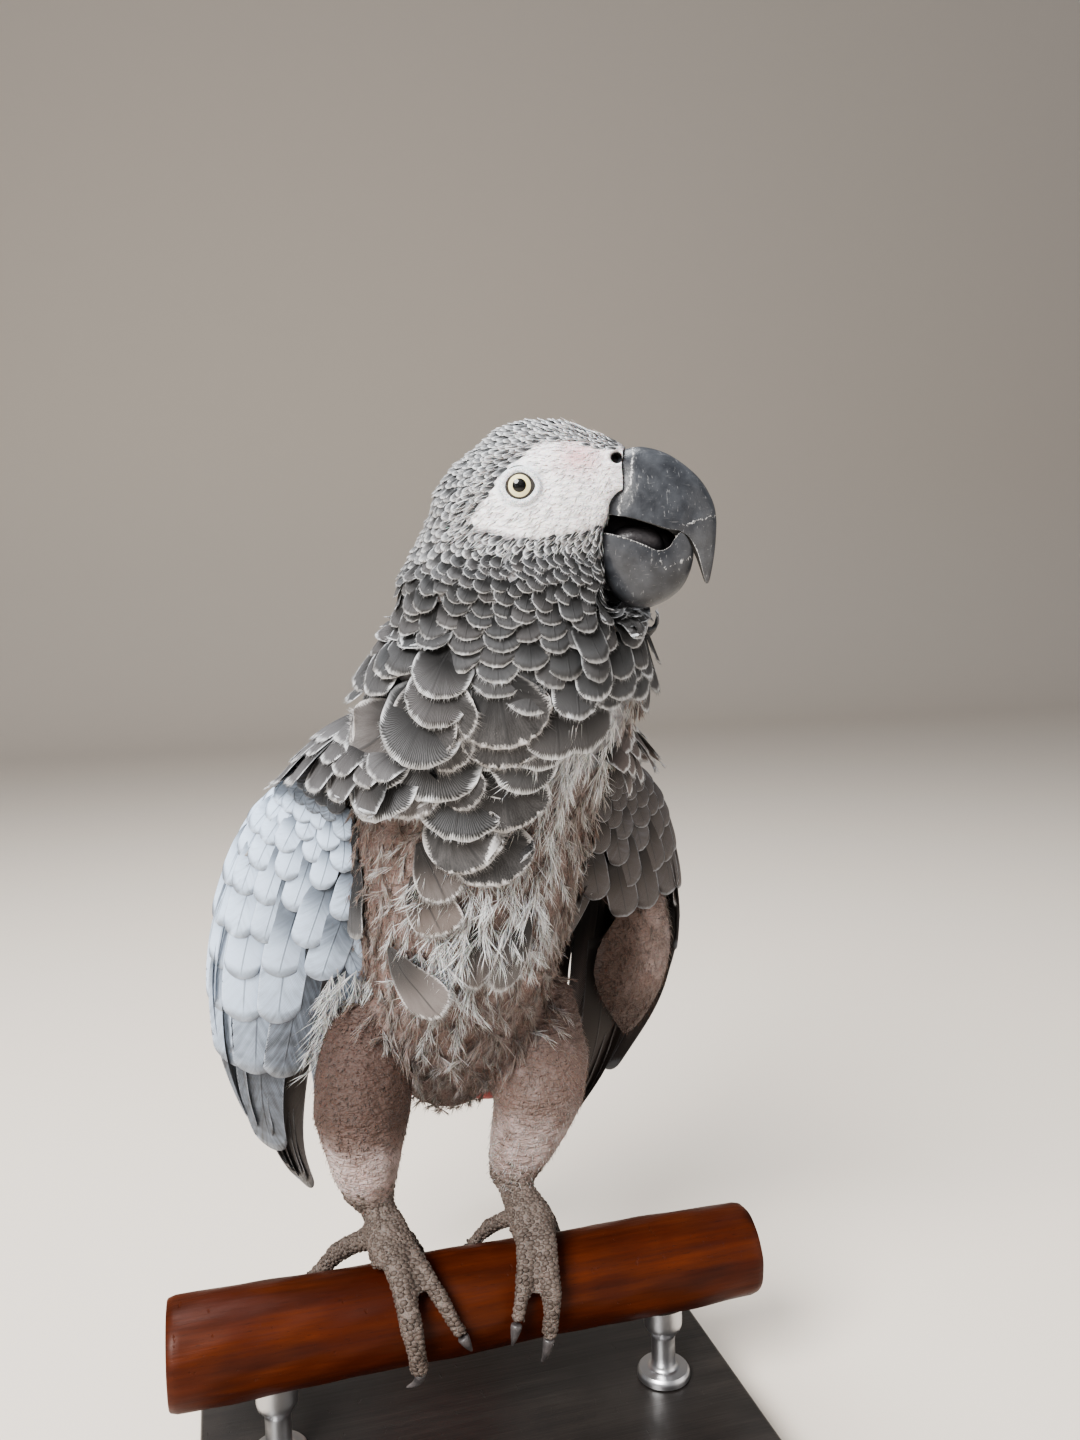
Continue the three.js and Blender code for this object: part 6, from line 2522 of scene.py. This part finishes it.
RED = FeatherFinish(
    "red tail feathers", (0.30, 0.010, 0.008), (0.46, 0.024, 0.016), (0.55, 0.08, 0.05), (0.3, 0.02, 0.02),
    (0.12, 0.015, 0.014), (0.05, 0.02),
    lines=700.0, focus=None, aspect=0.16, roughness=0.52, barbs=0.15, line=0.7,
)
DOWN = DownFinish("loose down", (0.86, 0.86, 0.87), (0.24, 0.175, 0.15))
BRISTLE = DownFinish("face bristles", (0.90, 0.89, 0.90), (0.34, 0.32, 0.33))
PERCH_WOOD = WoodFinish(
    "red-brown perch wood", (0.020, 0.004, 0.002), (0.056, 0.009, 0.002), (0.105, 0.022, 0.005),
    roughness=0.45, coat=0.03, knots=1.0, gloss=0.15,
)
BASE_WOOD = WoodFinish(
    "black-stained wood", (0.010, 0.009, 0.009), (0.022, 0.019, 0.018), (0.045, 0.038, 0.034),
    roughness=0.4, coat=0.3,
)


class Slot(Enum):
    """The record's material slots."""

    HEAD = "head_feathers"
    BODY = "body_feathers"
    DOWN = "down"
    COVERT = "wing_coverts"
    FLIGHT = "flight_feathers"
    TAIL = "tail_feathers"
    SKIN = "bare_skin"
    FACE = "face_skin"
    FOOT = "foot_scales"
    CLAW = "claw_horn"
    BEAK = "beak_horn"
    TONGUE = "tongue_skin"
    EYE = "eyeball"
    PERCH = "perch_wood"
    BASE = "base_wood"
    ROD = "rod_steel"


def settle(piece: Piece, material: Material, slot: Slot, *nodes: str) -> None:
    """Gives a piece its material, and replaces the nodes that it stands for."""
    piece.data.materials.clear()
    piece.data.materials.append(material)
    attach(piece, "root")
    if nodes:
        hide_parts(*nodes)
    LOG.info("settled %s", piece.name)


def build_bird(bird: BirdFrame) -> None:
    """Builds the skin, the coat, the beak, the eyes and the claws."""
    head = HeadFrame()
    spine = Spine(bird)
    forms = {sign: WingForm(bird, sign) for sign in (1, -1)}
    skin = Skin(bird, head, spine, forms)
    piece = skin.build()
    settle(piece, SkinFinish().make(), Slot.SKIN, *FLESH)
    scale, slate, covert, down = SCALE.make(), SLATE.make(), COVERT.make(), DOWN.make()
    plumage = Plumage(Ground(skin, head, spine))
    looks = ((scale, Slot.HEAD), (slate, Slot.HEAD), (slate, Slot.BODY))
    for part, (material, slot) in zip(plumage.head_and_neck(), looks):
        settle(part, material, slot)
    settle(plumage.back(), slate, Slot.BODY)
    settle(plumage.scapulars(), slate, Slot.BODY)
    settle(plumage.fans(), FAN.make(), Slot.BODY)
    for part in (*plumage.down(), plumage.fuzz(), plumage.wing_down(forms[-1])):
        settle(part, down, Slot.DOWN)
    settle(plumage.bristles(), BRISTLE.make(), Slot.FACE)
    settle(plumage.foot_scales(), ScaleFinish().make(), Slot.FOOT)
    # The left wing gets a far lower shade than the right, painted shade on the side turned from the key
    # light, and a browner tint.
    for sign, side, shade, warm in ((1, "left", 0.08, 0.84), (-1, "right", 1.0, 0.0)):
        quills, flight, coverts = Wing(forms[sign], side, shade, warm).build()
        settle(quills, covert, Slot.FLIGHT, f"wing_{side}_primaries")
        settle(flight, covert, Slot.FLIGHT, f"wing_{side}_secondaries")
        settle(coverts, covert, Slot.COVERT, f"wing_{side}_coverts")
    settle(Tail(bird).build(), RED.make(), Slot.TAIL, "tail")
    horn = HornFinish("beak horn").make()
    beak = Beak(head)
    settle(beak.upper(), horn, Slot.BEAK, "beak_upper")
    settle(beak.lower(), horn, Slot.BEAK, "beak_lower")
    tongue = FleshFinish("dark tongue", (0.016, 0.015, 0.017), (0.055, 0.05, 0.053), 1.2, 0.3)
    # The lining's near-black colour is partly painted shade deep in the mouth.
    lining = FleshFinish("mouth lining", (0.006, 0.005, 0.006), (0.02, 0.017, 0.018), 1.5, 0.4)
    settle(beak.tongue_piece(), tongue.make(), Slot.TONGUE, "tongue")
    settle(beak.lining(), lining.make(), Slot.TONGUE)
    wet = EyeFinish().make()
    for sign, side in ((1, "left"), (-1, "right")):
        settle(Eye(head, side, sign).build(), wet, Slot.EYE, f"eye_{side}")
    dark = HornFinish("claw horn", (0.035, 0.032, 0.034), (0.09, 0.08, 0.08), (0.35, 0.32, 0.31), 0.4).make()
    for side in ("left", "right"):
        for number in (1, 2, 3, 4):
            name = f"claw_{side}_{number}"
            settle(claw(name), dark, Slot.CLAW, name)


def build_mount() -> None:
    """Builds the perch and its stand."""
    settle(Perch().build(), PERCH_WOOD.make(), Slot.PERCH, "perch")
    stand = Stand()
    settle(stand.base(), BASE_WOOD.make(), Slot.BASE, "stand_base")
    steel = SteelFinish().make()
    for side in ("left", "right"):
        settle(stand.rod(side), steel, Slot.ROD, f"stand_rod_{side}")


def main() -> None:
    """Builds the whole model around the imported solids."""
    logging.basicConfig(level=logging.INFO, format="%(message)s")
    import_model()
    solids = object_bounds()
    bird = BirdFrame()
    studio = Studio(bird)
    studio.camera()
    studio.lights()
    studio.floor()
    build_bird(bird)
    build_mount()
    deselect()
    bpy.context.view_layer.update()
    boxes = {"solids": solids, "looks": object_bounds()}
    {name: [list(corner) for corner in box] for name, box in boxes.items()}


if __name__ == "__main__":
    main()
